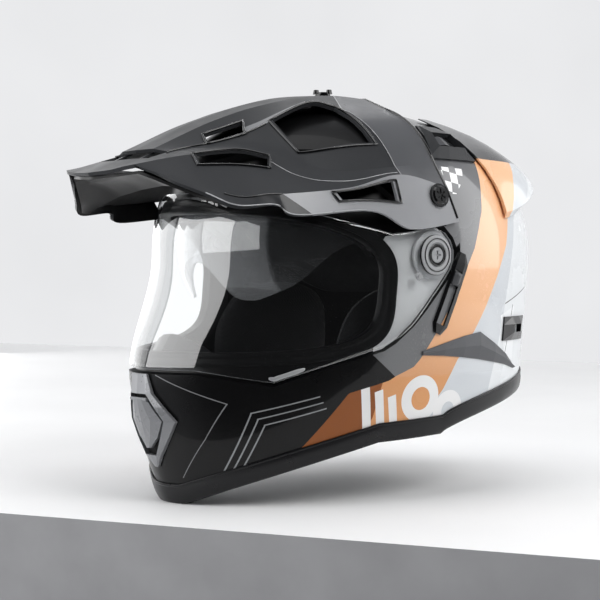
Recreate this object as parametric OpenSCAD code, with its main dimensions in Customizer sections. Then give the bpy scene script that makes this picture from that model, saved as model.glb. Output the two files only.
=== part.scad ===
// Adventure style full face helmet: a vented peak, a clear visor on two side pivots,
// a smoked inner sun visor worked by a slider on the left side, vents and padding.
// Axes: +Z up, the face looks along -Y, +X is the wearer's left side.
// Modules draw in the pivot frame: y = 0 and z = pivot_z on the visor hinge line and
// z = 0 under the chin. place() moves the helmet so that its length is centred.

/* [Shell] */
// Height of the visor hinge line above the underside of the chin
pivot_z = 176; // [168:1:186]
// Height of the crown above the hinge line
crown_h = 112; // [104:1:122]
// Reach of the brow in front of the hinge line
brow_y = 145; // [138:1:154]
// Reach of the chin bar in front of the hinge line
chin_y = 168; // [160:1:176]
// Height at which the chin bar reaches furthest
chin_z = 90; // [82:1:98]
// Draw-in of the chin bar at its underside
chin_tuck = 24; // [16:1:32]
// Reach of the back of the shell behind the hinge line
back_y = 175; // [166:1:186]
// Draw-in of the nape
nape_tuck = 18; // [10:1:30]
// Half of the width of the shell at the hinge line
half_w = 121.5; // [114:0.5:128]
// Draw-in of the sides at the rim
waist = 24.5; // [16:0.5:30]
// Thickness of the shell
wall = 4; // [3:0.5:5]
// Height of the rim at the ears
ear_z = 44; // [38:1:50]
// Height of the rim at the nape
nape_z = 78; // [70:1:86]

/* [Eyeport and visor] */
// Height of the middle of the eyeport below the hinge line
port_drop = 18; // [14:1:22]
// Half of the height of the eyeport
port_h = 54; // [48:1:56]
// Thickness of the clear visor
visor_t = 2.2; // [1.8:0.1:2.6]
// Depth of the recess in the shell that the visor swings in
pocket = 5; // [5:0.5:6]
// Radius of the rounded rear end of the visor about its pivot
visor_end_r = 19.5; // [18:0.5:21]
// Radius of the pivot boss on each base plate
boss_r = 9.95; // [8.95:0.5:10.95]
// Radial play of the visor on its bosses
play = 0.05; // [0.03:0.01:0.08]
// Radius of the pivot covers
cover_r = 14.5; // [13:0.5:16]

/* [Sun visor] */
// Height of the sun visor hinge above the visor hinge line
sun_z = 10; // [8:1:12]
// Distance of the sun visor hinge in front of the visor hinge line
sun_y = 36; // [34:1:38]
// Radius of the middle of the sun visor about its hinge
sun_r = 85; // [80:1:86]
// Thickness of the sun visor
sun_t = 2; // [1.6:0.1:2.4]
// Radius of the two hinge pins of the sun visor
sun_pin_r = 4; // [3:0.5:5]

/* [Peak] */
// Thickness of the peak
peak_t = 2.6; // [2:0.2:3.2]
// Reach of the tip of the peak in front of the hinge line
peak_y = 210; // [200:1:225]
// Radius of the two side screws of the peak
peak_screw_r = 8.5; // [7:0.5:10]

/* [Vents and trim] */
// Height of the trim that covers the rim
trim_h = 14; // [11:1:17]
// Stand-off of the chin vent frame from the shell
chin_vent_h = 5; // [4:0.5:7]
// Stand-off of the two crown vents from the shell
crown_vent_h = 5; // [4:0.5:7]
// Stand-off of the lip of the rear spoiler from the shell
spoiler_h = 13; // [9:1:16]

/* [Padding] */
// Depth of the inside of the impact liner below the surface of the shell
liner_d = 42; // [38:1:44]
// Thickness of the comfort liner
comfort_t = 8; // [6:1:10]
// Thickness of each cheek pad at its middle
cheek_t = 27; // [22:1:30]
// Width of the chin strap webbing
strap_w = 22; // [20:1:26]

/* [Hidden] */
$fn = 48;
gap = 0.3;
facet_gap = 0.9;
plate_gap = 0.8;
trim_seat = 2.6;
port_a = 76;
port_z = pivot_z - port_drop;
pocket_end = 97.2;
sun_hz = pivot_z + sun_z;
peak_kx = half_w / 121.5;
peak_kz = crown_h / 112;
peak_ky = peak_y / 210;
center_y = (peak_y - back_y) / 2;
liner_gap = wall + facet_gap;

charcoal = [0.20, 0.20, 0.21];
mid_grey = [0.50, 0.50, 0.50];
pale_grey = [0.62, 0.62, 0.62];
gloss_black = [0.03, 0.03, 0.035];
soft_black = [0.07, 0.07, 0.075];
silver = [0.58, 0.59, 0.60];
clear = [0.85, 0.90, 0.92, 0.35];
smoke = [0.35, 0.36, 0.38, 0.6];

// Small helpers
function clip(v, lo = 0, hi = 1) = max(lo, min(hi, v));
function mix(a, b, k) = a + (b - a) * k;
function ease(v) = let (k = clip(v)) k * k * (3 - 2 * k);
function unit(v) = v / max(norm(v), 0.000001);
function both(list) = concat([for (k = [len(list) - 1:-1:0]) if (list[k] > 0) -list[k]], list);

// The outer skin: t is the bearing in degrees from the face towards the left side, z the
// height, and off how far outside the skin the point lies. Heights above the hinge line
// shrink with off, so that every offset skin has the same rows.
function dome(h, n) = pow(max(0, 1 - pow(h, n)), 1 / n);
function front_at(z) = z >= chin_z
  ? mix(chin_y, brow_y, ease((z - chin_z) / (pivot_z - chin_z)))
  : chin_y - chin_tuck * pow(1 - z / chin_z, 1.3);
function back_at(z) = back_y - nape_tuck * pow(clip(1 - z / pivot_z), 1.15);
function half_at(z) = half_w - waist * pow(clip(1 - z / pivot_z), 2.2);
function square_at(front, h) = let (n = front ? 1.75 : 2.2) n + (2 - n) * h * h;
function skin(t, z, off) =
  let (c = cos(t), s = sin(t), h = clip((z - pivot_z) / (crown_h + off)),
    n = square_at(c > 0, h),
    l = ((c > 0 ? front_at(z) : back_at(z)) + off) * dome(h, 2.15),
    w = (half_at(z) + off) * dome(h, 2.5),
    k = pow(pow(abs(s), n) + pow(abs(c), n), -1 / n))
  [w * s * k, -l * c * k, z];
function at(t, z, off = 0) =
  skin(t, z > pivot_z ? mix(pivot_z, z, (crown_h + off) / crown_h) : z, off);
// A point of the left side of the skin at a given y and z
function side(y, z, off = 0) =
  let (h = clip((z - pivot_z) / (crown_h + off)), n = square_at(y < 0, h),
    l = ((y < 0 ? front_at(z) : back_at(z)) + off) * dome(h, 2.15),
    w = (half_at(z) + off) * dome(h, 2.5))
  [w * pow(max(0, 1 - pow(abs(y) / l, n)), 1 / n), y, z];

// Outlines on the skin, by bearing
function rim_z(t) = let (a = abs(t))
  a < 8 ? 0 : a < 76 ? ear_z * pow((a - 8) / 68, 1.1) : a < 96 ? ear_z + 3 * (a - 76) / 20
  : ear_z + 3 + (nape_z - ear_z - 3) * pow(sin(90 * (a - 96) / 84), 0.7);
function visor_lo(a) = pivot_z + lookup(a, [[0, -80], [22, -80], [46, -88], [76, -64],
  [80, -57], [84, -46], [88, -34.5], [91, -25.5], [93.5, -17], [95.3, -10], [96.1, -4]]);
function visor_hi(a) = pivot_z + (a < 14 ? 44 : a < 76 ? 44 - 29 * pow((a - 14) / 62, 1.3)
  : lookup(a, [[76, 15], [84, 17], [90, 19.5], [93.5, 16], [95.3, 10.2], [96.1, 4]]));
function zone_lo(a) = pivot_z + lookup(a, [[0, -83], [22, -83], [46, -91], [76, -67],
  [79, -62], [84, -50], [90, -32], [93.5, -20.5], [96, -12], [97.2, -6], [98.5, -9],
  [104, -24], [180, -24]]);
function zone_hi(a) = pivot_z + lookup(a, [[0, 64], [30, 74], [56, 74], [68, 57], [80, 35],
  [90, 25], [93.5, 20], [96, 13], [97.2, 6], [98.5, 9], [104, 24], [180, 36]]);
function port_lo(a) = port_z - port_h * dome(min(a, port_a) / (port_a + 1), 5);
function port_hi(a) = port_z + port_h * dome(min(a, port_a) / (port_a + 1), 2.6);

// A closed solid between two grids of points. Rows run up or inwards and columns with
// the bearing, outer on the side that faces out. Cells that keep() leaves out are holes.
module grid_solid(outer, inner, wrap = false, poles = [], keep = function (i, j) true) {
  rows = len(outer);
  cols = len(outer[0]);
  n = rows * cols;
  cells = wrap ? cols : cols - 1;
  capped = len(poles) == 2;
  function full(i, j) = (wrap || (j >= 0 && j < cells)) && i >= 0
    && (i < rows - 1 ? keep(i, (j + cells) % cells) : capped);
  points = concat([for (r = outer) each r], [for (r = inner) each r], poles);
  walls = [for (i = [0:rows - 2], j = [0:cells - 1]) if (full(i, j))
    let (a = i * cols + j, b = i * cols + (j + 1) % cols, c = b + cols, d = a + cols)
    each [[a, d, c], [a, c, b], [a + n, b + n, c + n], [a + n, c + n, d + n],
      if (!full(i - 1, j)) each [[a, b, b + n], [a, b + n, a + n]],
      if (!full(i + 1, j)) each [[c, d, d + n], [c, d + n, c + n]],
      if (!full(i, j - 1)) each [[d, a, a + n], [d, a + n, d + n]],
      if (!full(i, j + 1)) each [[b, c, c + n], [b, c + n, b + n]]]];
  tops = [if (capped) for (j = [0:cells - 1])
    let (a = (rows - 1) * cols + j, b = (rows - 1) * cols + (j + 1) % cols)
    each [[b, a, 2 * n], [a + n, b + n, 2 * n + 1]]];
  polyhedron(points, concat(walls, tops), convexity = 10);
}

// Moves a grid inwards along its own normals
function grid_normal(g, i, j) = let (r = len(g) - 1, c = len(g[0]) - 1)
  unit(cross(g[i][min(c, j + 1)] - g[i][max(0, j - 1)],
    g[min(r, i + 1)][j] - g[max(0, i - 1)][j]));
function sunk(g, depth) = [for (i = [0:len(g) - 1]) [for (j = [0:len(g[0]) - 1])
  g[i][j] - depth * grid_normal(g, i, j)]];

// A tube through a list of rings, whose points turn by the right-hand rule about the path
module sweep(rings, closed = false) {
  n = len(rings);
  m = len(rings[0]);
  function middle(r) = [for (k = [0:2]) [for (p = r) p[k]] * [for (p = r) 1] / m];
  points = concat([for (r = rings) each r], [middle(rings[0]), middle(rings[n - 1])]);
  sides = [for (k = [0:(closed ? n - 1 : n - 2)], q = [0:m - 1])
    let (a = k * m + q, b = k * m + (q + 1) % m, c = ((k + 1) % n) * m + (q + 1) % m,
      d = ((k + 1) % n) * m + q) each [[a, d, c], [a, c, b]]];
  ends = [if (!closed) for (q = [0:m - 1]) each [[n * m, q, (q + 1) % m],
    [n * m + 1, (n - 1) * m + (q + 1) % m, (n - 1) * m + q]]];
  polyhedron(concat(closed ? [for (r = rings) each r] : points), concat(sides, ends),
    convexity = 10);
}

// A patch of plate that lies on the skin: rows of heights and columns of bearings
module patch(ts, zs, top, base = 0.3, keep = function (i, j) true) {
  grid_solid([for (i = [0:len(zs) - 1]) [for (j = [0:len(ts) - 1])
      at(ts[j], zs[i], top(i, j))]],
    [for (z = zs) [for (t = ts) at(t, z, base)]], keep = keep);
}

module place() translate([0, center_y, 0]) children();
module mirrored() mirror([1, 0, 0]) children();
module on_both_sides() { children(); mirrored() children(); }

// Shell
side_cols = [0, 8, 16, 24, 32, 40, 48, 56, 63, 69, 73, 76, 79, 84, 90, 93.5, 96,
  pocket_end, 98.5, 104, 112, 121, 130, 140, 150, 160, 170];
ring_cols = concat(both(side_cols), [180]);
dome_rows = 6;
function shell_line(a) =
  let (lo = zone_lo(a), hi = zone_hi(a), rim = rim_z(a) + trim_seat,
    p = a <= pocket_end ? 1 : 0, e = asin((hi - pivot_z) / crown_h))
  [[rim, 0], [mix(rim, lo, 1 / 3), 0], [mix(rim, lo, 2 / 3), 0], [lo, 0],
    [p == 1 ? lo + 1.2 : mix(lo, hi, 0.2), p],
    [a <= port_a ? port_lo(a) : mix(lo, hi, 0.4), p],
    [a <= port_a ? port_hi(a) : mix(lo, hi, 0.6), p],
    [p == 1 ? hi - 1.5 : mix(lo, hi, 0.8), p], [hi, 0],
    for (k = [1:dome_rows]) [pivot_z + crown_h * sin(mix(e, 90, k / (dome_rows + 1))), 0]];
function shell_grid(lines, depth) = [for (i = [0:len(lines[0]) - 1])
  [for (j = [0:len(ring_cols) - 1])
    at(ring_cols[j], lines[j][i][0], -pocket * lines[j][i][1] - depth)]];
// Columns j and j + 1 both lie inside the bearing limit
function inside(j, limit) = let (n = len(ring_cols))
  max(abs(ring_cols[j % n]), abs(ring_cols[(j + 1) % n])) <= limit;

module outer_shell() {
  lines = [for (t = ring_cols) shell_line(abs(t))];
  color(mid_grey) grid_solid(shell_grid(lines, 0), shell_grid(lines, wall), wrap = true,
    poles = [[0, 0, pivot_z + crown_h], [0, 0, pivot_z + crown_h - wall]],
    keep = function (i, j) i != 5 || !inside(j, port_a));
}

// Impact liner: it leaves the front free for the chin part and, over the brow, a slot
// in which the sun visor is stowed
sun_slot = 29;
function liner_line(a) =
  let (lo = zone_lo(a), hi = zone_hi(a), p = a <= pocket_end ? pocket : 0,
    d = liner_gap, e = asin((hi - pivot_z) / crown_h), brow = a <= 79,
    foot = rim_z(a) + 32, top = pivot_z + 0.77 * crown_h)
  [[min(foot, lo - 8), d], [mix(min(foot, lo - 8), lo, 0.5), d], [lo, d],
    [p > 0 ? lo + 1.2 : mix(lo, hi, 0.2), d + p],
    [mix(lo, hi, 0.4), d + p],
    brow ? [port_hi(a) + 2, sun_slot] : [mix(lo, hi, 0.6), d + p],
    brow ? [mix(port_hi(a), top, 0.35), sun_slot] : [p > 0 ? hi - 1.5 : mix(lo, hi, 0.8), d + p],
    brow ? [mix(port_hi(a), top, 0.7), sun_slot] : [hi, d],
    brow ? [top, sun_slot] : [pivot_z + crown_h * sin(mix(e, 90, 0.17)), d],
    for (k = [1:4]) [brow ? pivot_z + crown_h * sin(65 + 5 * k)
      : pivot_z + crown_h * sin(mix(e, 90, 0.17 + 0.83 * k / 5)), d + (brow ? pocket : 0)]];
function liner_in(z) = mix(30, liner_d, ease((z - pivot_z + 20) / 20));

module impact_liner() {
  lines = [for (t = ring_cols) liner_line(abs(t))];
  rows = [0:len(lines[0]) - 1];
  cols = [0:len(ring_cols) - 1];
  color(soft_black) grid_solid(
    [for (i = rows) [for (j = cols) at(ring_cols[j], lines[j][i][0], -lines[j][i][1])]],
    [for (i = rows) [for (j = cols)
      at(ring_cols[j], lines[j][i][0], -liner_in(lines[j][i][0]))]],
    wrap = true,
    poles = [[0, 0, pivot_z + crown_h - liner_gap - pocket], [0, 0, pivot_z + crown_h - liner_d]],
    keep = function (i, j) i > 4 || !inside(j, 84));
}

chin_cols = both([0, 10, 20, 30, 40, 50, 60, 70]);
module chin_liner() {
  function zc(t, k) = mix(rim_z(t) + 18, zone_lo(abs(t)) - 2, k);
  color(soft_black) grid_solid(
    [for (k = [0, 0.5, 1]) [for (t = chin_cols) at(t, zc(t, k), -liner_gap)]],
    [for (k = [0, 0.5, 1]) [for (t = chin_cols) at(t, zc(t, k), -24)]]);
}

// Comfort liner with soft channels, thinner along its lower edge
lining_gap = 5;
liner_cols = concat(both([0, 12, 24, 36, 48, 60, 72, 84, 96, 108, 120, 132, 144, 156, 168]), [180]);
module comfort_liner() {
  function foot(a) = a < 80 ? port_hi(a) + 14 + 10 * ease((a - 50) / 26)
    : pivot_z - 6 + 16 * ease((90 - a) / 10) - 24 * ease((a - 90) / 30);
  function zl(a, i) = let (e = asin(clip((foot(a) - pivot_z) / crown_h, -1, 1)))
    foot(a) < pivot_z && i < 2 ? mix(foot(a), pivot_z, i / 2)
    : pivot_z + crown_h * sin(mix(max(e, 0), 90, foot(a) < pivot_z ? (i - 2) / 5 : i / 7));
  function plump(t, i) = comfort_t * (i == 0 ? 0.45 : 0.9 + 0.1 * cos(15 * t));
  function back(t, i) = let (z = zl(abs(t), i)) liner_in(z) + lining_gap;
  color(soft_black) grid_solid(
    [for (i = [0:6]) [for (t = liner_cols) at(t, zl(abs(t), i), -back(t, i))]],
    [for (i = [0:6]) [for (t = liner_cols) at(t, zl(abs(t), i), -back(t, i) - plump(t, i))]],
    wrap = true,
    poles = [[0, 0, pivot_z + crown_h - liner_d - lining_gap],
      [0, 0, pivot_z + crown_h - liner_d - lining_gap - comfort_t]]);
}

// Cheek pad: a crowned cushion, flat against the liner
module cheek_pad() {
  function ring(r, q) = let (s = sin(q), c = cos(q))
    [91 + 25 * r * sign(c) * pow(abs(c), 0.75),
      pivot_z - 66 + 44 * r * sign(s) * pow(abs(s), 0.75) + 6 * r * c];
  function seat(z) = 30 + facet_gap + 4 * ease((z - pivot_z + 60) / 26);
  function back(p, r) = at(p[0], p[1], -seat(p[1]) - 2 * pow(r, 6));
  function face(p, r) = at(p[0], p[1], -seat(p[1]) - 6 - (cheek_t - 6) * pow(1 - r * r * 0.98, 0.6));
  rs = [1, 0.94, 0.8, 0.55, 0.28];
  qs = [0:15:345];
  color(soft_black) grid_solid(
    [for (r = rs) [for (q = qs) back(ring(r, q), r)]],
    [for (r = rs) [for (q = qs) face(ring(r, q), r)]],
    wrap = true, poles = [back(ring(0, 0), 0), face(ring(0, 0), 0)]);
}
module cheek_pad_left() cheek_pad();
module cheek_pad_right() mirrored() cheek_pad();

module neck_roll() {
  function fat(t) = mix(0.45, 1, pow(sin(180 * (t - 112) / 136), 0.4));
  color(soft_black) sweep([for (t = [112:8:248]) [for (q = [0:36:324])
    at(t, rim_z(t > 180 ? 360 - t : t) + 17 + 10 * fat(t) * sin(q),
      -15.6 - 11 * fat(t) * cos(q))]]);
}

// Rim trim, a channel over the lower edge of the shell; it is flat under the chin
module base_trim() {
  w = wall;
  color(soft_black) sweep([for (t = ring_cols) let (r = rim_z(t))
    [at(t, r, -w - 2.2), at(t, r + trim_h - 3, -w - 2.2), at(t, r + trim_h - 3, -w - 0.6),
      at(t, r + 2, -w - 0.6), at(t, r + 2, 0.3), at(t, r + trim_h, 0.3),
      at(t, r + trim_h - 1, 1.6), at(t, r + 2.5, 2.2), at(t, r, 1.2)]], closed = true);
}

// Eyeport gasket, a channel over the edge of the eyeport
module eyeport_gasket() {
  lip = -pocket + 1.7;
  back = -pocket - wall;
  function edge(q, g, off) = let (c = cos(q), s = sin(q), n = s >= 0 ? 2.6 : 5)
    at((port_a + 0.2 + g / 2) * sign(c) * pow(abs(c), 2 / n),
      port_z + (port_h + g) * sign(s) * pow(abs(s), 2 / n), off);
  function drop(q) = 1.3 * ease(1 - abs(abs(q - 90) - 55) / 45) * (sin(q) > 0 ? 1 : 0);
  // The lower half turns in steps that are even along the edge
  turns = [3, 8, 15, 25, 36, 48, 58, 67, 74, 80, 84, 87, 88.7, 89.6];
  qs = concat([for (q = [0:6:180]) q], [for (q = turns) 180 + q], [270],
    [for (k = [len(turns) - 1:-1:0]) 360 - turns[k]]);
  seat = facet_gap - pocket;
  foot = back - facet_gap - 0.5;
  color(gloss_black) sweep([for (q = qs)
    [edge(q, 5, max(lip - drop(q) - 0.6, seat + gap)), edge(q, 5.2, seat), edge(q, -2.2, seat),
      edge(q, -2.2, foot), edge(q, 5, foot), edge(q, 5, foot - 1),
      edge(q, -4.2, foot - 1), edge(q, -4.6, lip - drop(q) - 0.8),
      edge(q, -2, lip - drop(q))]], closed = true);
}

// Clear visor. Its two ends are flat round the pivots, so that it swings freely.
function visor_at(t, z, off) = let (p = at(t, z, off))
  abs(p[1]) > 34 || abs(t) < 60 ? p
  : [sign(p[0]) * mix(half_w + off, abs(p[0]), p[1] < 0 ? ease((-p[1] - 14) / 20) : 0),
    p[1], z];
visor_cols = both([0, 7, 14, 22, 30, 38, 46, 54, 62, 69, 76, 80, 84, 88, 91, 93.5, 95.3, 96.1]);
module visor() {
  function zv(t, k) = mix(visor_lo(abs(t)), visor_hi(abs(t)), k);
  color(clear) difference() {
    grid_solid(
      [for (k = [0, 0.1, 0.3, 0.5, 0.7, 0.9, 1]) [for (t = visor_cols) visor_at(t, zv(t, k), 0)]],
      [for (k = [0, 0.1, 0.3, 0.5, 0.7, 0.9, 1]) [for (t = visor_cols)
        visor_at(t, zv(t, k), -visor_t)]]);
    translate([0, 0, pivot_z]) rotate([0, 90, 0])
      cylinder(r = boss_r + play, h = 3 * half_w, center = true);
  }
}
module visor_stud() {
  color(silver) on_both_sides() translate([half_w, -15, pivot_z - 15]) rotate([0, 90, 0]) {
    cylinder(r = 3, h = 0.8);
    translate([0, 0, 0.8]) cylinder(r1 = 2.2, r2 = 1.4, h = 0.8);
  }
}

// Base plate with the boss that the visor turns on
plate_x = half_w - pocket + 0.1;
plate_top = half_w - visor_t - 0.5;
cover_x = half_w + 0.4;
module base_plate_left() {
  color(soft_black) translate([0, 0, pivot_z]) rotate([0, 90, 0]) difference() {
    union() {
      translate([0, 0, plate_x]) cylinder(r = visor_end_r - 2.5, h = plate_top - plate_x);
      translate([0, 0, plate_x]) cylinder(r = boss_r, h = cover_x - plate_x);
    }
    translate([0, 0, plate_x - 1]) cylinder(r = 2.6, h = 20);
  }
}
module base_plate_right() mirrored() base_plate_left();
module pivot_cover() {
  color(mid_grey) on_both_sides() translate([cover_x, 0, pivot_z]) rotate([0, 90, 0])
    rotate_extrude() polygon([[2.6, 0], [cover_r, 0], [cover_r, 1.2], [cover_r - 1, 2.2],
      [9, 2.6], [8.4, 1.8], [7.4, 1.8], [6.8, 2.4], [5.6, 2.4], [5.6, 1], [2.6, 1]]);
}
module pivot_screw() {
  color(gloss_black) on_both_sides() translate([plate_x, 0, pivot_z]) rotate([0, 90, 0])
    difference() {
      union() {
        cylinder(r = 2.5, h = cover_x - plate_x + 1);
        translate([0, 0, cover_x - plate_x + 1]) cylinder(r = 5.4, h = 1.6);
      }
      for (q = [0, 90]) rotate([0, 0, q])
        translate([0, 0, cover_x - plate_x + 2.4]) cube([6.4, 1.4, 1.4], center = true);
    }
}

// Sun visor: a surface of revolution about its own hinge line, so that it slides up
// into its slot without moving sideways
sun_w = half_w - 25;
arm_out = sun_w - 2;
function sun_rad(x) = sun_r * dome(abs(x) / sun_w, 1.75);
sun_cols = both([0, 6, 14, 26, 40, 54, 66, 76, 84, 90, arm_out - 0.4]);
function sun_low(x) = lookup(abs(x), [[0, -10], [6, -11], [14, -16], [26, -31], [40, -35],
  [66, -34], [76, -30], [84, -22], [90, -13], [94, -8]]);
function sun_high(x) = lookup(abs(x), [[0, 16], [66, 16], [84, 22], [94, 26]]);
module sun_visor() {
  g = [for (k = [0, 0.2, 0.45, 0.7, 1]) [for (x = sun_cols)
    let (f = mix(sun_low(x), sun_high(x), k), r = sun_rad(x))
    [x, -sun_y - r * cos(f), sun_hz + r * sin(f)]]];
  color(smoke) difference() {
    union() {
      grid_solid(g, sunk(g, sun_t));
      on_both_sides() translate([arm_out - sun_t, -sun_y, sun_hz]) rotate([90, 0, 90])
        linear_extrude(sun_t) polygon(concat([for (q = [-90:30:90]) 9 * [cos(q), sin(q)]],
          [for (f = [154:4:188]) 21 * [cos(f), sin(f)]]));
    }
    translate([0, -sun_y, sun_hz]) rotate([0, 90, 0])
      cylinder(r = sun_pin_r + play, h = 3 * sun_w, center = true);
  }
}
module sun_hinge() {
  color(soft_black) on_both_sides() translate([0, -sun_y, sun_hz]) rotate([0, 90, 0]) {
    translate([0, 0, arm_out - sun_t - 1]) cylinder(r = sun_pin_r, h = sun_t + 4);
    translate([0, 0, arm_out + gap]) cylinder(r = 7.5,
      h = side(-sun_y - 7, sun_hz + 7, -pocket - wall - 2.4)[0] - arm_out - gap);
  }
}

// Slider for the sun visor, along the rear edge of the visor on the left side
slot_lo = [7, -46];
slot_hi = [22.5, -12];
function rail(k, v, off) = let (p = mix(slot_lo, slot_hi, k))
  side(p[0] + v, pivot_z + p[1] - v * 0.35, off);
module slider_housing() {
  ks = [-0.28, -0.1, 0.45, 1.02, 1.2, 1.38];
  vs = [-5.8, -3.9, 3.9, 7.5];
  shape = [[0.35, 0.55], [1, 1], [1, 1], [1, 1], [1, 1], [0.9, 0.35]];
  color(soft_black) grid_solid(
    [for (i = [0:5]) [for (v = vs) rail(ks[i], v * shape[i][v < 0 ? 0 : 1],
      abs(v) > 5 ? 1.2 : 2)]],
    [for (i = [0:5]) [for (v = vs) rail(ks[i], v * shape[i][v < 0 ? 0 : 1], 0.2)]],
    keep = function (i, j) !(j == 1 && (i == 1 || i == 2)));
}
module slider_knob() {
  color(silver) grid_solid(
    [for (k = [0.72, 0.78, 0.92, 0.98]) [for (v = [-3.5, -1, 1, 3.5])
      rail(k, v, (k == 0.78 || k == 0.92) && abs(v) < 3 ? 4.2 : 3)]],
    [for (k = [0.72, 0.78, 0.92, 0.98]) [for (v = [-3.5, -1, 1, 3.5]) rail(k, v, 0.6)]]);
}

// Peak: a folded sheet through eight cross sections, each from the middle line to the
// edge of the left flank. Heights are above the hinge line.
peak_net = [
  [[0, -210, 56], [24, -207, 57], [38, -204, 59], [45, -201, 60], [47, -199, 58.5], [48, -197, 56.5]],
  [[0, -170, 74], [20, -168, 74], [33, -164, 71], [46, -166, 67], [76, -172, 46], [84, -172, 41]],
  [[0, -132, 92], [20, -130, 91], [40, -138, 77], [58, -128, 72], [96, -152, 38], [102, -158, 32]],
  [[0, -108, 101], [20, -106, 100], [44, -119, 82.5], [72, -110, 68], [104, -134, 40], [107, -130, 33]],
  [[0, -88, 108], [22, -86, 106.5], [48, -102, 89], [84, -92, 63.5], [109, -116, 41], [114, -117, 26]],
  [[0, -52, 117], [28, -50, 115.5], [50, -58, 109], [100, -68, 58], [116, -72, 46], [120, -56, 30]],
  [[0, -14, 121], [28, -16, 119], [58, -33, 106], [111, -28, 62], [119.5, -30, 56], [125, -24, 18]],
  [[0, 18, 120], [30, 14, 118], [67, 4, 107], [112, 9, 66], [119.5, 14, 48], [125, 21, 24]]];
function spline(a, b, c, d, u) = b + 0.5 * u * (c - a + u * (2 * a - 5 * b + 4 * c - d
  + u * (3 * (b - c) + d - a)));
function peak_pt(i, j) = let (k = min(floor(i), 6), u = i - k, m = min(floor(abs(j)), 4),
    v = abs(j) - m,
    p = [for (q = [m, m + 1]) spline(peak_net[max(0, k - 1)][q], peak_net[k][q],
      peak_net[k + 1][q], peak_net[min(7, k + 2)][q], u)],
    bulge = m == 2 ? 26 * v * (1 - v) * ease((i - 4.2) / 1.4) : 0,
    s = mix(p[0], p[1], v) + bulge * [0.6, 0, 0.8])
  [s[0] * peak_kx * (j < 0 ? -1 : 1), s[1] * peak_ky, pivot_z + s[2] * peak_kz];
peak_is = [0, 0.55, 0.95, 1.3, 1.65, 2, 2.5, 3, 3.5, 4, 4.33, 4.7, 5.25, 5.8, 6, 6.5, 7];
peak_js = both([0, 1, 1.5, 2, 2.35, 2.7, 3, 3.3, 3.65, 4, 4.12, 4.5, 5]);
// Openings as ranges of section and of distance from the middle line
peak_gaps = [[0.55, 0.95, 0, 2], [2, 3.5, 1.5, 2], [1.3, 3, 3, 3.3], [4.33, 5.8, 2, 2.7],
  [4.7, 5.8, 4.12, 4.5]];
function peak_open(i, a, b) = max([for (g = peak_gaps)
  i >= g[0] && i < g[1] && min(a, b) >= g[2] && max(a, b) <= g[3] ? 1 : 0]) == 1;
module peak() {
  g = [for (i = peak_is) [for (j = peak_js) peak_pt(i, j)]];
  color(charcoal) grid_solid(g, sunk(g, peak_t), keep = function (i, j)
    !peak_open(peak_is[i], abs(peak_js[j]), abs(peak_js[j + 1])));
}
// Concave panel that closes the nose of the peak from below
module peak_front_panel() {
  top = [[0, -206, 52.6], [22, -203, 53.4], [43, -196, 55], [78, -170, 38], [94, -160, 32.6]];
  low = [[0, -149, 50], [25, -150.5, 48], [50, -153.5, 44], [74, -157, 37], [90, -158, 31.6]];
  xs = both([0, 1, 2, 3, 4]);
  function pt(j, k) = let (m = abs(j), p = mix(top[m], low[m], k) + [0, 0, 24 * k * (1 - k) * (4 - m) / 4])
    [p[0] * sign(j) * peak_kx, p[1] * peak_ky, pivot_z + p[2] * peak_kz];
  g = [for (k = [0, 0.25, 0.5, 0.75, 1]) [for (j = xs) pt(j, k)]];
  color(charcoal) grid_solid([for (r = g) [for (p = r) p + [0, 0, 1]]],
    [for (r = g) [for (p = r) p - [0, 0, 1]]]);
}
// Thin bars under the slot behind the nose
module peak_bars() {
  color(mid_grey) for (j = [-1.6, -0.8, 0.8, 1.6]) sweep([for (i = [0.45, 0.6, 0.8, 1, 1.1])
    let (p = peak_pt(i, j) - [0, 0, peak_t + 0.7])
    [p + [-1, 0, 0], p + [-1, 0, -1.6], p + [1, 0, -1.6], p + [1, 0, 0]]]);
}
// Stands its children on the flank of the peak, with Z along the outward normal
screw_at = [6.65, 4.3];
screw_p = peak_pt(screw_at[0], screw_at[1]);
screw_n = unit(cross(peak_pt(screw_at[0] + 0.1, screw_at[1]) - screw_p,
  peak_pt(screw_at[0], screw_at[1] - 0.1) - screw_p));
mount_h = (screw_p[0] - side(screw_p[1], screw_p[2])[0]) / screw_n[0] - peak_t - 0.8;
module on_flank(lift) on_both_sides() translate(screw_p + lift * screw_n)
  rotate([0, acos(screw_n[2]), atan2(screw_n[1], screw_n[0])]) children();
module peak_side_screw() {
  color(gloss_black) on_flank(0.4) difference() {
    union() {
      cylinder(r = peak_screw_r, h = 1.6);
      translate([0, 0, 1.6]) cylinder(r1 = peak_screw_r - 1.5, r2 = peak_screw_r - 2.5, h = 1);
    }
    for (q = [0:60:150]) rotate([0, 0, q]) translate([0, 0, 2.6])
      cube([9, 1.3, 1.6], center = true);
  }
}
module peak_side_mount() {
  color(soft_black) on_flank(-peak_t - 0.4 - mount_h) cylinder(r = 6, h = mount_h);
}
peak_seat = peak_pt(6.3, 0)[2] + 0.1;
module peak_top_screw() {
  color(gloss_black) translate([0, -4, peak_seat]) {
    cylinder(r = 6, h = 2);
    for (q = [0, 180]) rotate([0, 0, q + 40]) translate([5, 0, 2]) cylinder(r1 = 2.6, r2 = 1.9, h = 3.4);
    translate([0, 0, 2]) cylinder(r = 4, h = 1.4);
  }
}
module peak_top_mount() {
  color(soft_black) translate([0, -4, pivot_z + crown_h + 0.1])
    cylinder(r = 9, h = peak_seat - peak_t - pivot_z - crown_h - 1.1);
}

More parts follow.
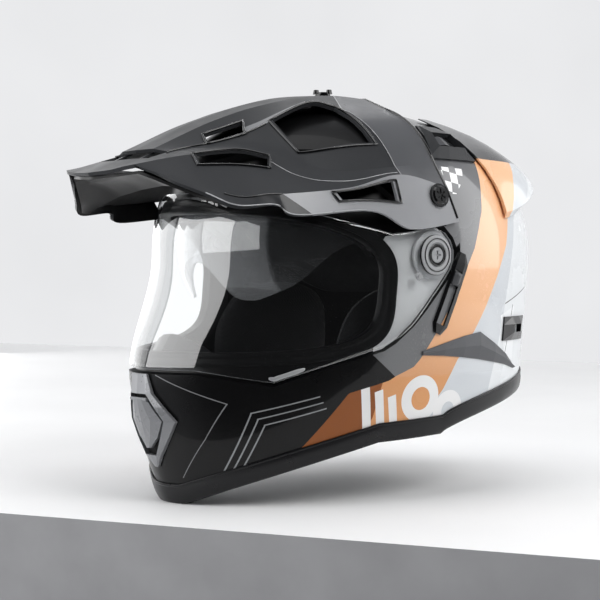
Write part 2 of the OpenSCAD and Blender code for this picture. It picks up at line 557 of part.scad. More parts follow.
// Chin vent: a kite-shaped frame with a flap that tips out from its upper edge
vent_rows = [[26, 2], [35, 10], [48, 21], [60, 29], [70, 20.5], [79, 13], [93, 9]];
vent_s = [-1, -0.72, 0, 0.72, 1];
chin_deg = 0.49;
module chin_vent_frame() {
  function off(i, j) = i == 0 || i == 6 ? chin_vent_h * 0.5
    : abs(vent_s[j]) > 0.9 ? chin_vent_h * 0.7 : chin_vent_h;
  color(silver) grid_solid(
    [for (i = [0:6]) [for (j = [0:4])
      at(vent_s[j] * vent_rows[i][1] * chin_deg, vent_rows[i][0], off(i, j))]],
    [for (i = [0:6]) [for (j = [0:4])
      at(vent_s[j] * vent_rows[i][1] * chin_deg, vent_rows[i][0], plate_gap)]],
    keep = function (i, j) !(i > 0 && i < 5 && (j == 1 || j == 2)));
}
flap_rows = [[40, 2.5], [48, 12], [60, 19], [69, 12.6], [75, 9]];
flap_axis = [-(front_at(75) + 3.6), 75];
module chin_vent_flap() {
  color(silver) translate([0, flap_axis[0], flap_axis[1]]) rotate([0, 90, 0])
    cylinder(r = 1.3, h = 20, center = true);
  color(silver) grid_solid(
    [for (r = flap_rows) [for (s = [-1, -0.5, 0, 0.5, 1])
      at(s * r[1] * chin_deg, r[0], chin_vent_h + (abs(s) > 0.9 ? -0.6 : 0.6))]],
    [for (r = flap_rows) [for (s = [-1, -0.5, 0, 0.5, 1])
      at(s * r[1] * chin_deg, r[0], 2.4)]]);
}
module chin_vent_mesh() {
  rows = [for (i = [1:5]) vent_rows[i] + (i == 1 ? [0.6, 0] : i == 5 ? [-0.6, 0] : [0, 0])];
  function sheet(off) = [for (r = rows) [for (s = [-0.68, -0.34, 0, 0.34, 0.68])
    at(s * r[1] * chin_deg, r[0], off)]];
  color(soft_black) grid_solid(sheet(plate_gap + 0.8), sheet(plate_gap));
}

// Crown vents, one on each side behind the peak
crown_ts = [96, 99, 103.5, 108, 112, 116];
crown_zs = [for (h = [69, 76, 86, 94]) pivot_z + h * peak_kz];
module crown_vent() {
  function tt(i, j) = crown_ts[j] + (i - 1) * (5 - j) / 2;
  function hh(i, j) = i == 0 || i == 3 || j == 0 || j == 5 ? 1.6 : crown_vent_h;
  color(charcoal) grid_solid(
    [for (i = [0:3]) [for (j = [0:5]) at(tt(i, j), crown_zs[i], hh(i, j))]],
    [for (i = [0:3]) [for (j = [0:5]) at(tt(i, j), crown_zs[i], gap)]],
    keep = function (i, j) !(i == 1 && j > 0 && j < 4));
}
module crown_slider() {
  color(silver) grid_solid(
    [for (h = [78, 84]) [for (t = [101, 103.5, 106]) at(t, pivot_z + h * peak_kz, t == 103.5 ? 3.8 : 3)]],
    [for (h = [78, 84]) [for (t = [101, 103.5, 106]) at(t, pivot_z + h * peak_kz, 0.9)]]);
}
module crown_vent_left() crown_vent();
module crown_vent_right() mirrored() crown_vent();
module crown_slider_left() crown_slider();
module crown_slider_right() mirrored() crown_slider();

// Rear spoiler, a wedge that rises to a lip across the back
spoiler_ts = [118, 124, 131, 139, 148, 158, 169, 180, 191, 202, 212, 221, 229, 236, 242];
module rear_spoiler() {
  function lip(t) = let (a = t > 180 ? 360 - t : t) pivot_z + mix(31, 58, ease((a - 116) / 38)) * peak_kz;
  function rise(t) = let (a = t > 180 ? 360 - t : t) spoiler_h * (0.1 + 0.9 * ease((a - 116) / 20));
  top = pivot_z + 101 * peak_kz;
  seat = plate_gap + 0.6;
  zs = [0, 0.12, 0.45, 0.75, 1];
  hs = [1, 0.96, 0.62, 0.34, 0.08];
  color(charcoal) grid_solid(
    [for (i = [0:4]) [for (t = spoiler_ts)
      at(t, mix(lip(t), top, zs[i]), hs[i] * rise(t) + seat + 0.6)]],
    [for (i = [0:4]) [for (t = spoiler_ts)
      at(t, mix(lip(t) - (i == 0 ? 4 : 0), top, zs[i]), seat)]]);
}

// Exhaust clips low on each rear quarter
module rear_vent() {
  color(gloss_black) patch([118, 123, 128, 133], [112, 118, 124, 130],
    function (i, j) i == 0 || i == 3 || j == 0 || j == 3 ? 1.2 : 3.6,
    keep = function (i, j) !(i == 1 && j == 1));
}
module rear_vent_left() rear_vent();
module rear_vent_right() mirrored() rear_vent();

// Low fin that runs back along each side
module side_fin() {
  ts = [87, 94, 101, 107, 114, 121, 128];
  low = [105, 104, 102, 100, 97, 94, 90];
  high = [108, 113, 117.5, 120, 111, 102, 92];
  color(charcoal) grid_solid(
    [for (k = [0, 0.5, 1]) [for (j = [0:6]) at(ts[j], mix(low[j], high[j], k), k == 0.5 ? 2.4 : 0.9)]],
    [for (k = [0, 0.5, 1]) [for (j = [0:6]) at(ts[j], mix(low[j], high[j], k), 0.2)]]);
}
module side_fin_left() side_fin();
module side_fin_right() mirrored() side_fin();

// Breath guard over the nose and curtain under the chin
module breath_guard() {
  ts = both([0, 6, 12, 18, 24, 30]);
  function zb(t, k) = mix(zone_lo(abs(t)) - 1.8, pivot_z - 56 - 24 * pow(abs(t) / 30, 2), k);
  color(soft_black) grid_solid(
    [for (k = [0, 0.5, 1]) [for (t = ts) at(t, zb(t, k), -12.4 - 6 * k * k)]],
    [for (k = [0, 0.5, 1]) [for (t = ts) at(t, zb(t, k), -14.4 - 6 * k * k)]]);
}
module chin_curtain() {
  ts = both([0, 10, 20, 30, 40, 50, 58]);
  function sag(k) = 3 * sin(180 * k);
  function d(t, k) = -wall - 2.9 - k * 38 * (1 - 0.6 * pow(abs(t) / 58, 2));
  color(soft_black) grid_solid(
    [for (k = [0, 0.25, 0.5, 0.75, 1]) [for (t = ts) at(t, rim_z(t) + 9.4 - sag(k), d(t, k))]],
    [for (k = [0, 0.25, 0.5, 0.75, 1]) [for (t = ts) at(t, rim_z(t) + 8 - sag(k), d(t, k))]]);
}

// Chin strap: flat webbing from a rivet on each side to two rings
strap_x = half_w - 32.5;
strap_path = [[strap_x, 4, 70], [strap_x, 4, 59], [strap_x - 5, 2, 52], [strap_x - 20, -4, 46],
  [48, -9, 41], [28, -12, 38], [19.2, -13, 37.4]];
module chin_strap() {
  color(soft_black) sweep([for (k = [0:len(strap_path) - 1])
    let (p = strap_path[k], q = k == 0 ? strap_path[1] - p : p - strap_path[k - 1],
      n = unit([q[2], 0, -q[0]]) * 1.1, w = [0, strap_w / 2, 0])
    [p + n - w, p + n + w, p - n + w, p - n - w]]);
}
module chin_strap_left() chin_strap();
module chin_strap_right() mirrored() chin_strap();
ring_r = strap_w / 2 + 2.6;
module strap_rings() {
  color(silver) for (k = [-1, 1]) translate([3.4 * k, -13, 37.4 + 1.7 * k])
    rotate_extrude() translate([ring_r, 0]) circle(r = 1.6, $fn = 16);
}
// Riveted plate between the webbing and the shell
anchor_z = 65;
module strap_anchor() {
  face = strap_path[0][0] + 1.1;
  color(silver) on_both_sides() translate([face, 4, anchor_z]) rotate([0, 90, 0])
    cylinder(r = 6, h = side(4, anchor_z - 6, -wall)[0] - face - 0.7);
}

place() outer_shell();
place() impact_liner();
place() chin_liner();
place() comfort_liner();
place() cheek_pad_left();
place() cheek_pad_right();
place() neck_roll();
place() base_trim();
place() eyeport_gasket();
place() visor();
place() visor_stud();
place() base_plate_left();
place() base_plate_right();
place() pivot_cover();
place() pivot_screw();
place() sun_visor();
place() sun_hinge();
place() slider_housing();
place() slider_knob();
place() peak();
place() peak_front_panel();
place() peak_bars();
place() peak_side_screw();
place() peak_side_mount();
place() peak_top_screw();
place() peak_top_mount();
place() chin_vent_frame();
place() chin_vent_flap();
place() chin_vent_mesh();
place() crown_vent_left();
place() crown_vent_right();
place() crown_slider_left();
place() crown_slider_right();
place() rear_spoiler();
place() rear_vent_left();
place() rear_vent_right();
place() side_fin_left();
place() side_fin_right();
place() breath_guard();
place() chin_curtain();
place() chin_strap_left();
place() chin_strap_right();
place() strap_rings();
place() strap_anchor();
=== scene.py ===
from math import asin, cos, exp, floor, hypot, pi, radians, sin
import bpy
import bmesh
import numpy as np
from mathutils import Matrix, Vector


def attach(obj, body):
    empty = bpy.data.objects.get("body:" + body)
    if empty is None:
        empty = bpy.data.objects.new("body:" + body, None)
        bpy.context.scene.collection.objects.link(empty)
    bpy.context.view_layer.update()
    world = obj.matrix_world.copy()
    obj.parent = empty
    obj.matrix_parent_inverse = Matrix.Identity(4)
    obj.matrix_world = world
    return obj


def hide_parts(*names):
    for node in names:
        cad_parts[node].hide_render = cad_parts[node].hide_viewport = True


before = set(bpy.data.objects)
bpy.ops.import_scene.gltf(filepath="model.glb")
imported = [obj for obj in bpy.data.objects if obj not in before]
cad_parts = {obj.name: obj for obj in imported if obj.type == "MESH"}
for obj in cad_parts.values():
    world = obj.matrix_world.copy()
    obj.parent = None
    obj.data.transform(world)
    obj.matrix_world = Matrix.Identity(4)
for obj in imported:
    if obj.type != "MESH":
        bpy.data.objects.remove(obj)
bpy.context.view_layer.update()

# Sizes in mm, as in the CAD source, y from the visor's pivot line
PIVOT_Z, CROWN_H = 176.0, 112.0
BROW_Y, CHIN_Y, CHIN_Z, CHIN_TUCK = 145.0, 168.0, 90.0, 24.0
BACK_Y, NAPE_TUCK, HALF_W, WAIST, WALL = 175.0, 18.0, 121.5, 24.5, 4.0
EAR_Z, EAR_RISE, NAPE_Z = 44.0, 3.0, 78.0
PORT_Z, PORT_H, PORT_A = 158.0, 54.0, 76.0
POCKET, POCKET_END, VISOR_T, COVER_R = 5.0, 97.2, 2.2, 14.5
SUN_HZ, SUN_Y, SUN_R, SUN_T, SUN_W = 186.0, 36.0, 85.0, 2.0, HALF_W - 25
PEAK_T, LINER_LOW, LINER_D, COMFORT_T, CHEEK_T = 2.6, 30.0, 42.0, 8.0, 27.0
TRIM_H, STRAP_W = 14.0, 22.0
GAP, FACET_GAP, PLATE_GAP, LINING_GAP = 0.3, 0.9, 0.8, 5.0
# distance of the pivot line behind the frame's origin
SHIFT_Y = 17.5
SIDES = (("left", False), ("right", True))
# exponents of the shell's oval, front and back, and dome, along and across
OVAL_FRONT, OVAL_BACK, DOME_LONG, DOME_WIDE = 1.75, 2.2, 2.15, 2.5
# bearings where the rim leaves the chin, passes the ear and turns up
RIM_CHIN, RIM_EAR, RIM_BACK = 8.0, 76.0, 96.0


def ease(v):
    """Smooth step of v from 0 to 1."""
    k = np.clip(v, 0, 1)
    return k * k * (3 - 2 * k)


def mix(a, b, k):
    return a + (b - a) * k


def dome(h, n):
    """Rounded fall from 1 to 0 as h goes from 0 to 1."""
    return np.power(np.clip(1 - np.power(np.clip(h, 0, 2), n), 0, 1), 1 / n)


def around(step):
    """Angles round a circle, at a step in degrees."""
    return np.radians(np.arange(0, 360, float(step)))


def lookup(a, table):
    xs, ys = zip(*table)
    return np.interp(a, xs, ys)


def front_at(z):
    up = mix(CHIN_Y, BROW_Y, ease((z - CHIN_Z) / (PIVOT_Z - CHIN_Z)))
    return np.where(z >= CHIN_Z, up, CHIN_Y - CHIN_TUCK * np.clip(1 - z / CHIN_Z, 0, 9) ** 1.3)


def back_at(z):
    return BACK_Y - NAPE_TUCK * np.clip(1 - z / PIVOT_Z, 0, 1) ** 1.15


def half_at(z):
    return HALF_W - WAIST * np.clip(1 - z / PIVOT_Z, 0, 1) ** 2.2


def at(t, z, off=0.0):
    """Points of the skin at bearing t and height z, moved out by off."""
    t, z, off = np.broadcast_arrays(*(np.asarray(v, float) for v in (t, z, off)))
    z = np.where(z > PIVOT_Z, PIVOT_Z + (z - PIVOT_Z) * (CROWN_H + off) / CROWN_H, z)
    c, s = np.cos(np.radians(t)), np.sin(np.radians(t))
    h = np.clip((z - PIVOT_Z) / (CROWN_H + off), 0, 1)
    n = np.where(c > 0, OVAL_FRONT, OVAL_BACK)
    n = n + (2 - n) * h * h
    length = (np.where(c > 0, front_at(z), back_at(z)) + off) * dome(h, DOME_LONG)
    width = (half_at(z) + off) * dome(h, DOME_WIDE)
    k = (np.abs(s) ** n + np.abs(c) ** n) ** (-1 / n)
    return np.stack([width * s * k, -length * c * k, z], -1)


def crown_z(angle):
    """Height on the crown at an angle above the pivot line."""
    return PIVOT_Z + CROWN_H * np.sin(np.radians(angle))


def rim_z(t):
    """Height of the shell's rim at bearing t."""
    a = np.abs(np.asarray(t, float))
    a = np.where(a > 180, 360 - a, a)
    chin = EAR_Z * (np.clip(a - RIM_CHIN, 0, None) / (RIM_EAR - RIM_CHIN)) ** 1.1
    ear = EAR_Z + EAR_RISE * (a - RIM_EAR) / (RIM_BACK - RIM_EAR)
    turn = np.sin(np.radians(90 * np.clip((a - RIM_BACK) / (180 - RIM_BACK), 0, 1))) ** 0.7
    back = EAR_Z + EAR_RISE + (NAPE_Z - EAR_Z - EAR_RISE) * turn
    return np.where(a < RIM_EAR, chin, np.where(a < RIM_BACK, ear, back))


def visor_lo(a):
    return PIVOT_Z + lookup(a, [
        (0, -80), (22, -80), (46, -88), (76, -64), (80, -57), (84, -46), (88, -34.5), (91, -25.5),
        (93.5, -17), (95.3, -10), (96.1, -4)])


def visor_hi(a):
    brow = 44 - 29 * (np.clip(a - 14, 0, None) / 62) ** 1.3
    end = lookup(a, [(76, 15), (84, 17), (90, 19.5), (93.5, 16), (95.3, 10.2), (96.1, 4)])
    return PIVOT_Z + np.where(a < 76, brow, end)


def zone_lo(a):
    """Lower edge of the visor's recess."""
    return PIVOT_Z + lookup(a, [
        (0, -83), (22, -83), (46, -91), (76, -67), (79, -62), (84, -50), (90, -32), (93.5, -20.5), (96, -12),
        (97.2, -6), (98.5, -9), (104, -24), (180, -24)])


def zone_hi(a):
    """Upper edge of the visor's recess."""
    return PIVOT_Z + lookup(a, [
        (0, 64), (30, 74), (56, 74), (68, 57), (80, 35), (90, 25), (93.5, 20), (96, 13), (97.2, 6), (98.5, 9),
        (104, 24), (180, 36)])


def port_lo(a):
    return PORT_Z - PORT_H * dome(np.minimum(a, PORT_A) / (PORT_A + 1), 5)


def port_hi(a):
    return PORT_Z + PORT_H * dome(np.minimum(a, PORT_A) / (PORT_A + 1), 2.6)


# Mesh helpers
def to_row(points):
    """Points of the frame (m) from points about the pivot line (mm)."""
    p = np.array(points, float).reshape(-1, 3)
    p[:, 1] += SHIFT_Y
    return p / 1000.0


def new_object(name, data):
    obj = bpy.data.objects.new(name, data)
    bpy.context.scene.collection.objects.link(obj)
    return obj


def make(name, points, faces, looks, slots=None, sharp=30, bevel=0.0, limit=28, body="helmet", slot=None,
         node=None, mirror=False):
    """Piece of points in mm that rides on a body and may replace a CAD node."""
    mesh = bpy.data.meshes.new(name)
    mesh.from_pydata(to_row(points).tolist(), [], [tuple(int(v) for v in f) for f in faces])
    bm = bmesh.new()
    bm.from_mesh(mesh)
    if slots is not None:
        for f, k in zip(bm.faces, slots):
            f.material_index = int(k)
    bmesh.ops.remove_doubles(bm, verts=bm.verts, dist=1e-6)
    if mirror:
        for v in bm.verts:
            v.co.x = -v.co.x
    bmesh.ops.recalc_face_normals(bm, faces=bm.faces)
    bm.to_mesh(mesh)
    bm.free()
    for look in looks if isinstance(looks, list) else [looks]:
        mesh.materials.append(LOOKS[look])
    mesh.shade_smooth()
    mesh.set_sharp_from_angle(angle=radians(sharp))
    obj = new_object(name, mesh)
    if bevel:
        m = obj.modifiers.new("edge", "BEVEL")
        m.width = bevel / 1000
        m.segments = 2
        m.limit_method = "ANGLE"
        m.angle_limit = radians(limit)
        m.harden_normals = True
        m.use_clamp_overlap = True
    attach(obj, body)
    if node:
        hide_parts(node)
    return obj


def grid_data(outer, inner, wrap=False, poles=None, keep=None):
    """Points, faces and a tag per face: 0 outer, 1 inner, 2 edge."""
    rows, cols = outer.shape[:2]
    n = rows * cols
    cells = cols if wrap else cols - 1
    solid = np.ones((rows - 1, cells), bool) if keep is None else keep
    pts = [outer.reshape(-1, 3), inner.reshape(-1, 3), np.reshape(poles or [], (-1, 3))]
    faces, tags = [], []

    def full(i, j):
        if i < 0 or not (wrap or 0 <= j < cells):
            return False
        return solid[i, j % cells] if i < rows - 1 else bool(poles)

    for i in range(rows - 1):
        for j in range(cells):
            if not solid[i, j]:
                continue
            a, b = i * cols + j, i * cols + (j + 1) % cols
            c, d = b + cols, a + cols
            faces += [(a, b, c, d), (a + n, d + n, c + n, b + n)]
            tags += [0, 1]
            for i2, j2, p, q in ((i - 1, j, a, b), (i + 1, j, c, d), (i, j - 1, d, a), (i, j + 1, b, c)):
                if not full(i2, j2):
                    faces.append((p, p + n, q + n, q))
                    tags.append(2)
    if poles:
        for j in range(cells):
            a, b = n - cols + j, n - cols + (j + 1) % cols
            faces += [(a, b, 2 * n), (b + n, a + n, 2 * n + 1)]
            tags += [0, 1]
    return np.concatenate(pts), faces, tags


def grid(name, outer, inner, looks, wrap=False, poles=None, **more):
    """Sheet between two grids. A list of looks is for its outside, inside and edge."""
    pts, faces, tags = grid_data(outer, inner, wrap, poles)
    return make(name, pts, faces, looks, tags if isinstance(looks, list) else None, **more)


def sweep(name, rings, look, closed=False, **more):
    """Solid through a row of rings, closed to a loop or capped."""
    n, m = rings.shape[:2]
    faces = []
    for k in range(n if closed else n - 1):
        here, there = k * m, (k + 1) % n * m
        for q in range(m):
            r = (q + 1) % m
            faces.append((here + q, here + r, there + r, there + q))
    if not closed:
        faces += [range(m), range(n * m - 1, (n - 1) * m - 1, -1)]
    return make(name, rings.reshape(-1, 3), faces, look, **more)


def sunk(g, depth):
    """Grid g moved inwards."""
    n = np.cross(np.gradient(g, axis=1), np.gradient(g, axis=0))
    return g - depth * n / np.maximum(np.linalg.norm(n, axis=-1, keepdims=True), 1e-9)


# Materials
class Nodes:
    """Node tree of a material or a world."""

    def __init__(self, owner, out="ShaderNodeOutputMaterial"):
        owner.use_nodes = True
        self.owner = owner
        self.tree = owner.node_tree
        self.tree.nodes.clear()
        self.out = self.add(out)

    def add(self, kind, ins=None, **props):
        n = self.tree.nodes.new(kind)
        for k, v in props.items():
            setattr(n, k, v)
        for k, v in (ins or {}).items():
            self.put(n.inputs[k], v)
        return n

    def put(self, socket, v):
        if isinstance(v, bpy.types.NodeSocket):
            self.tree.links.new(v, socket)
        elif isinstance(v, tuple) and len(v) == 3 and len(socket.default_value) == 4:
            socket.default_value = (*v, 1)
        else:
            socket.default_value = v

    def show(self, node):
        self.tree.links.new(node.outputs[0], self.out.inputs[0])
        return self.owner

    def math(self, op, a, b=None, c=None, clamp=False):
        n = self.add("ShaderNodeMath", operation=op, use_clamp=clamp)
        for i, v in enumerate((a, b, c)):
            if v is not None:
                self.put(n.inputs[i], v)
        return n.outputs[0]

    def over(self, u, v):
        return self.math("GREATER_THAN", u, v)

    def times(self, u, v):
        return self.math("MULTIPLY", u, v)

    def place(self):
        """Read the place on the piece, in mm about the pivot line, x from the middle."""
        spot = self.add("ShaderNodeTexCoord").outputs["Object"]
        for op, v in (("MULTIPLY", (1000, 1000, 1000)), ("SUBTRACT", (0, SHIFT_Y, 0))):
            spot = self.add("ShaderNodeVectorMath", {0: spot, 1: v}, operation=op).outputs[0]
        s = self.add("ShaderNodeSeparateXYZ", {0: spot})
        self.vec = spot
        self.xyz = (self.math("ABSOLUTE", s.outputs[0]), s.outputs[1], s.outputs[2])
        return self

    def half(self, u, v, a, b, c):
        """Side of a line: a u + b v + c."""
        m = self.math("MULTIPLY_ADD", u, a, c)
        return self.math("MULTIPLY_ADD", v, b, m)

    def convex(self, u, v, pts):
        """Mask of a convex polygon, either way round."""
        legs = list(zip(pts, pts[1:] + pts[:1]))
        turn = 1 if sum(p[0] * q[1] - q[0] * p[1] for p, q in legs) > 0 else -1
        best = None
        for p, q in legs:
            dx, dy = q[0] - p[0], q[1] - p[1]
            length = hypot(dx, dy)
            a, b = -turn * dy / length, turn * dx / length
            d = self.half(u, v, a, b, -(a * p[0] + b * p[1]))
            best = d if best is None else self.math("MINIMUM", best, d)
        return self.over(best, 0.0)

    def patch(self, *pts):
        """Mask of a convex outline of (y, z) points."""
        return self.convex(self.xyz[1], self.xyz[2], list(pts))

    def curve(self, u, table, lo, hi):
        """Piecewise straight function of u, with values from lo to hi."""
        u0, u1 = table[0][0], table[-1][0]
        ramp = self.add("ShaderNodeValToRGB", {0: self.span(u, 0.0, 1.0, u0, u1)})
        ramp.color_ramp.interpolation = "LINEAR"
        e = ramp.color_ramp.elements
        while len(e) > 1:
            e.remove(e[-1])
        for i, (a, b) in enumerate(table):
            stop = (a - u0) / (u1 - u0)
            el = e[0] if i == 0 else e.new(stop)
            el.position = stop
            g = (b - lo) / (hi - lo)
            el.color = (g, g, g, 1)
        return self.math("MULTIPLY_ADD", ramp.outputs[0], hi - lo, lo)

    def blend(self, k, a, b):
        return self.add("ShaderNodeMix", {0: k, 6: a, 7: b}, data_type="RGBA").outputs[2]

    def lay(self, col, mask, colour, within=None):
        """Lay a colour over col inside a mask."""
        return self.blend(mask if within is None else self.times(mask, within), col, srgb(colour))

    def noise(self, scale, detail=3.0, rough=0.5):
        ins = {"Vector": self.vec, "Scale": scale, "Detail": detail, "Roughness": rough}
        return self.add("ShaderNodeTexNoise", ins).outputs["Fac"]

    def span(self, v, lo, hi, a=0.0, b=1.0):
        """Map v from a to b onto lo to hi."""
        return self.add("ShaderNodeMapRange", {0: v, 1: a, 2: b, 3: lo, 4: hi}).outputs[0]

    def drift(self, lo, hi, *noise):
        """Value that wanders between lo and hi."""
        return self.span(self.noise(*noise), lo, hi, 0.3, 0.7)

    def bump(self, height, strength, distance):
        ins = {"Height": height, "Strength": strength, "Distance": distance}
        return self.add("ShaderNodeBump", ins).outputs[0]

    def principled(self, **ins):
        ins = {k.replace("_", " "): v for k, v in ins.items()}
        return self.show(self.add("ShaderNodeBsdfPrincipled", ins))


def paint(name):
    return Nodes(bpy.data.materials.new(name)).place()


def srgb(h):
    v = [int(h[i:i + 2], 16) / 255 for i in (0, 2, 4)]
    return tuple(x / 12.92 if x <= 0.04045 else ((x + 0.055) / 1.055) ** 2.4 for x in v)


def plastic(name, colour, rough=0.35, spread=0.06, grain=0.25, size=1.6, coat=0.0, coat_rough=0.05, metal=0.0,
            depth=0.00004, spec=0.2):
    """Moulded plastic with a fine grain and an uneven gloss."""
    s = paint(name)
    vary = 0.08
    dark = tuple(v * (1 - vary) for v in srgb(colour))
    light = tuple(min(1, v * (1 + vary) + 0.001) for v in srgb(colour))
    return s.principled(
        Base_Color=s.blend(s.drift(0, 1, 0.02, 4.0), dark, light),
        Roughness=s.drift(rough - spread, rough + spread, 0.05, 5.0, 0.6),
        Normal=s.bump(s.noise(size, 3.0, 0.6), grain, depth),
        Coat_Weight=coat, Coat_Roughness=coat_rough, Metallic=metal, Specular_IOR_Level=spec)


def lacquer(name, colour):
    """Plastic under a silvery lacquer."""
    return plastic(name, colour, 0.3, 0.06, 0.3, 1.8, coat=0.3, coat_rough=0.12, metal=0.3, spec=0.5)


def fabric(name, colour, light, weave, fuzz):
    """Knitted lining of crossed threads with a soft sheen."""
    s = paint(name)
    threads = []
    for turn in (1, -1):
        way = s.add("ShaderNodeVectorMath", {0: s.vec, 1: (1, turn, 1)}, operation="MULTIPLY").outputs[0]
        ins = {"Vector": way, "Scale": 0.30 * weave, "Distortion": 0.6, "Detail": 1.0}
        wave = s.add("ShaderNodeTexWave", ins, wave_type="BANDS", bands_direction="DIAGONAL")
        threads.append(wave.outputs["Fac"])
    loft = s.noise(0.6, 4.0)
    height = s.math("MULTIPLY_ADD", loft, 0.6, s.math("MAXIMUM", *threads))
    col = s.blend(s.span(height, 0, 1, 0.4, 1.5), srgb(colour), srgb(light))
    col = s.lay(col, s.span(s.noise(0.03, 3.0), 0.0, 0.4, 0.3, 0.8), colour)
    return s.principled(
        Base_Color=col, Roughness=s.span(loft, 0.82, 0.97, 0.3, 0.7), Normal=s.bump(height, 0.6, 0.00035),
        Sheen_Weight=fuzz, Sheen_Roughness=0.45, Specular_IOR_Level=0.3)


def clear_plastic(name, tint, haze, dust, wide=None):
    """Thin clear sheet that doesn't bend the view, with mirrors on front faces."""
    s = paint(name)
    gain = 1.7
    through = s.add("ShaderNodeBsdfTransparent", {"Color": tint})
    fog = s.noise(0.02, 5.0, 0.6)
    gloss = s.add("ShaderNodeBsdfGlossy", {"Color": (1, 1, 1), "Roughness": s.span(fog, 0.0, 0.02, 0.3, 0.7)})
    grime = s.add("ShaderNodeBsdfDiffuse", {"Color": (0.75, 0.76, 0.78)})
    mirror = s.add("ShaderNodeFresnel", {"IOR": 1.6}).outputs[0]
    back = s.add("ShaderNodeNewGeometry").outputs["Backfacing"]
    mirror = s.math("MULTIPLY", mirror, s.math("MULTIPLY_ADD", back, -gain, gain), clamp=True)
    shiny = s.add("ShaderNodeMixShader", {0: mirror, 1: through.outputs[0], 2: gloss.outputs[0]})
    specks = s.span(s.noise(0.9, 2.0, 0.8), 0.0, dust, 0.7, 0.8)
    k = s.math("ADD", s.span(fog, haze * 0.5, haze, 0.3, 0.7), specks)
    if wide:
        k = s.times(k, s.span(s.over(wide, s.xyz[0]), 0.12, 1.0))
    return s.show(s.add("ShaderNodeMixShader", {0: k, 1: shiny.outputs[0], 2: grime.outputs[0]}))


# Paint of the shell, in (y, z) as seen from the side
BLACK = "0a0a0b"
# edges of the band, as (z, y), and the lower edge of the grey side, as (y, z)
BAND_L = [(37, -93), (80, -63), (88, -34), (91, -29), (97, -15), (102, -10), (125, 7), (141, 18), (168, 34),
          (181, 42), (202, 50), (208, 53), (220, 56), (238, 62), (250, 66)]
BAND_R = [(37, -24), (60, -2), (80, 15), (100, 27), (122, 45), (137, 56), (162, 72), (184, 84), (209, 91),
          (234, 102), (250, 112)]
SIDE_LOW = [(-120, 150), (-60, 117), (-36, 96), (-29, 90), (60, 90)]


def rear_panels(s, col, rear):
    """Slanted pale panel of the rear quarter and its seams."""
    col = s.lay(col, s.patch((78, 131), (100, 138), (104, 96), (88, 100)), "eceef0", rear)
    for seam in ([(84, 139.4), (84, 140.2), (128, 153), (128, 152.2)],
                 [(87.6, 100), (88.4, 100), (98, 139), (97.2, 139)]):
        col = s.lay(col, s.patch(*seam), "1c1c1e")
    return col


def rings_and_slats(s, col, band):
    """Rings and slats at the foot of the band, a motif of our own."""
    pale, width = "e9e9e9", 4.2
    for cy, cz, r in ((-6, 74, 12.5), (22, 64, 10.5)):
        sides = [s.math("POWER", s.math("SUBTRACT", u, c), 2.0) for u, c in ((s.xyz[1], cy), (s.xyz[2], cz))]
        d = s.math("SQRT", s.math("ADD", *sides))
        ring = s.over(width, s.math("ABSOLUTE", s.math("SUBTRACT", d, r)))
        col = s.lay(col, ring, pale, band)
    for k in range(3):
        a, top = -52 + 10.5 * k, 84 - 4 * k
        col = s.lay(col, s.patch((a - 3, top), (a + 3.2, top + 2), (a + 9.2, 44), (a + 3, 44)), pale, band)
    return col


def chin_lines(s, col):
    """Bent lines on the chin, and painted highlight lines along the creases round the vent."""
    for k in range(3):
        o = 4.2 * k
        up = s.patch((-130 + o, 26), (-129.1 + o, 26), (-121.1 + o, 66.5 - o), (-122 + o, 66.5 - o))
        end = -82 + 0.6 * o
        run = s.patch((-122 + o, 66.4 - o), (-122 + o, 67.3 - o), (end, 78.6 - o), (end, 77.7 - o))
        col = s.lay(col, s.math("MAXIMUM", up, run), "8d8f91")
    front = s.over(-60.0, s.xyz[1])
    # painted highlights: light grey lines where the creases round the vent would catch the light
    for crease in ([(14.5, 92.9), (57.6, 73.6), (57.6, 72.8), (14.5, 92.1)],
                   [(57.9, 73.4), (41.5, 47.8), (40.9, 47.8), (57.1, 73.4)],
                   [(41.5, 47.8), (20.0, 19.3), (19.4, 19.3), (40.9, 47.8)]):
        col = s.lay(col, s.convex(s.xyz[0], s.xyz[2], crease), "7d7e80", front)
    return col


def check_pattern(s, col):
    """Small check pattern behind the arm of the peak."""
    side, tilt = 7.4, (0.985, 0.17)
    u = s.half(s.xyz[1], s.xyz[2], tilt[0], -tilt[1], 0.0)
    v = s.half(s.xyz[1], s.xyz[2], tilt[1], tilt[0], 0.0)
    where = s.add("ShaderNodeCombineXYZ", {0: u, 1: v, 2: 0.5}).outputs[0]
    check = s.add("ShaderNodeTexChecker", {"Vector": where, "Scale": 1 / side}).outputs["Fac"]
    patch = s.patch((17, 240), (42, 239), (39, 233), (34, 227), (27, 220), (19, 220))
    return s.lay(col, check, "f2f2f2", patch)


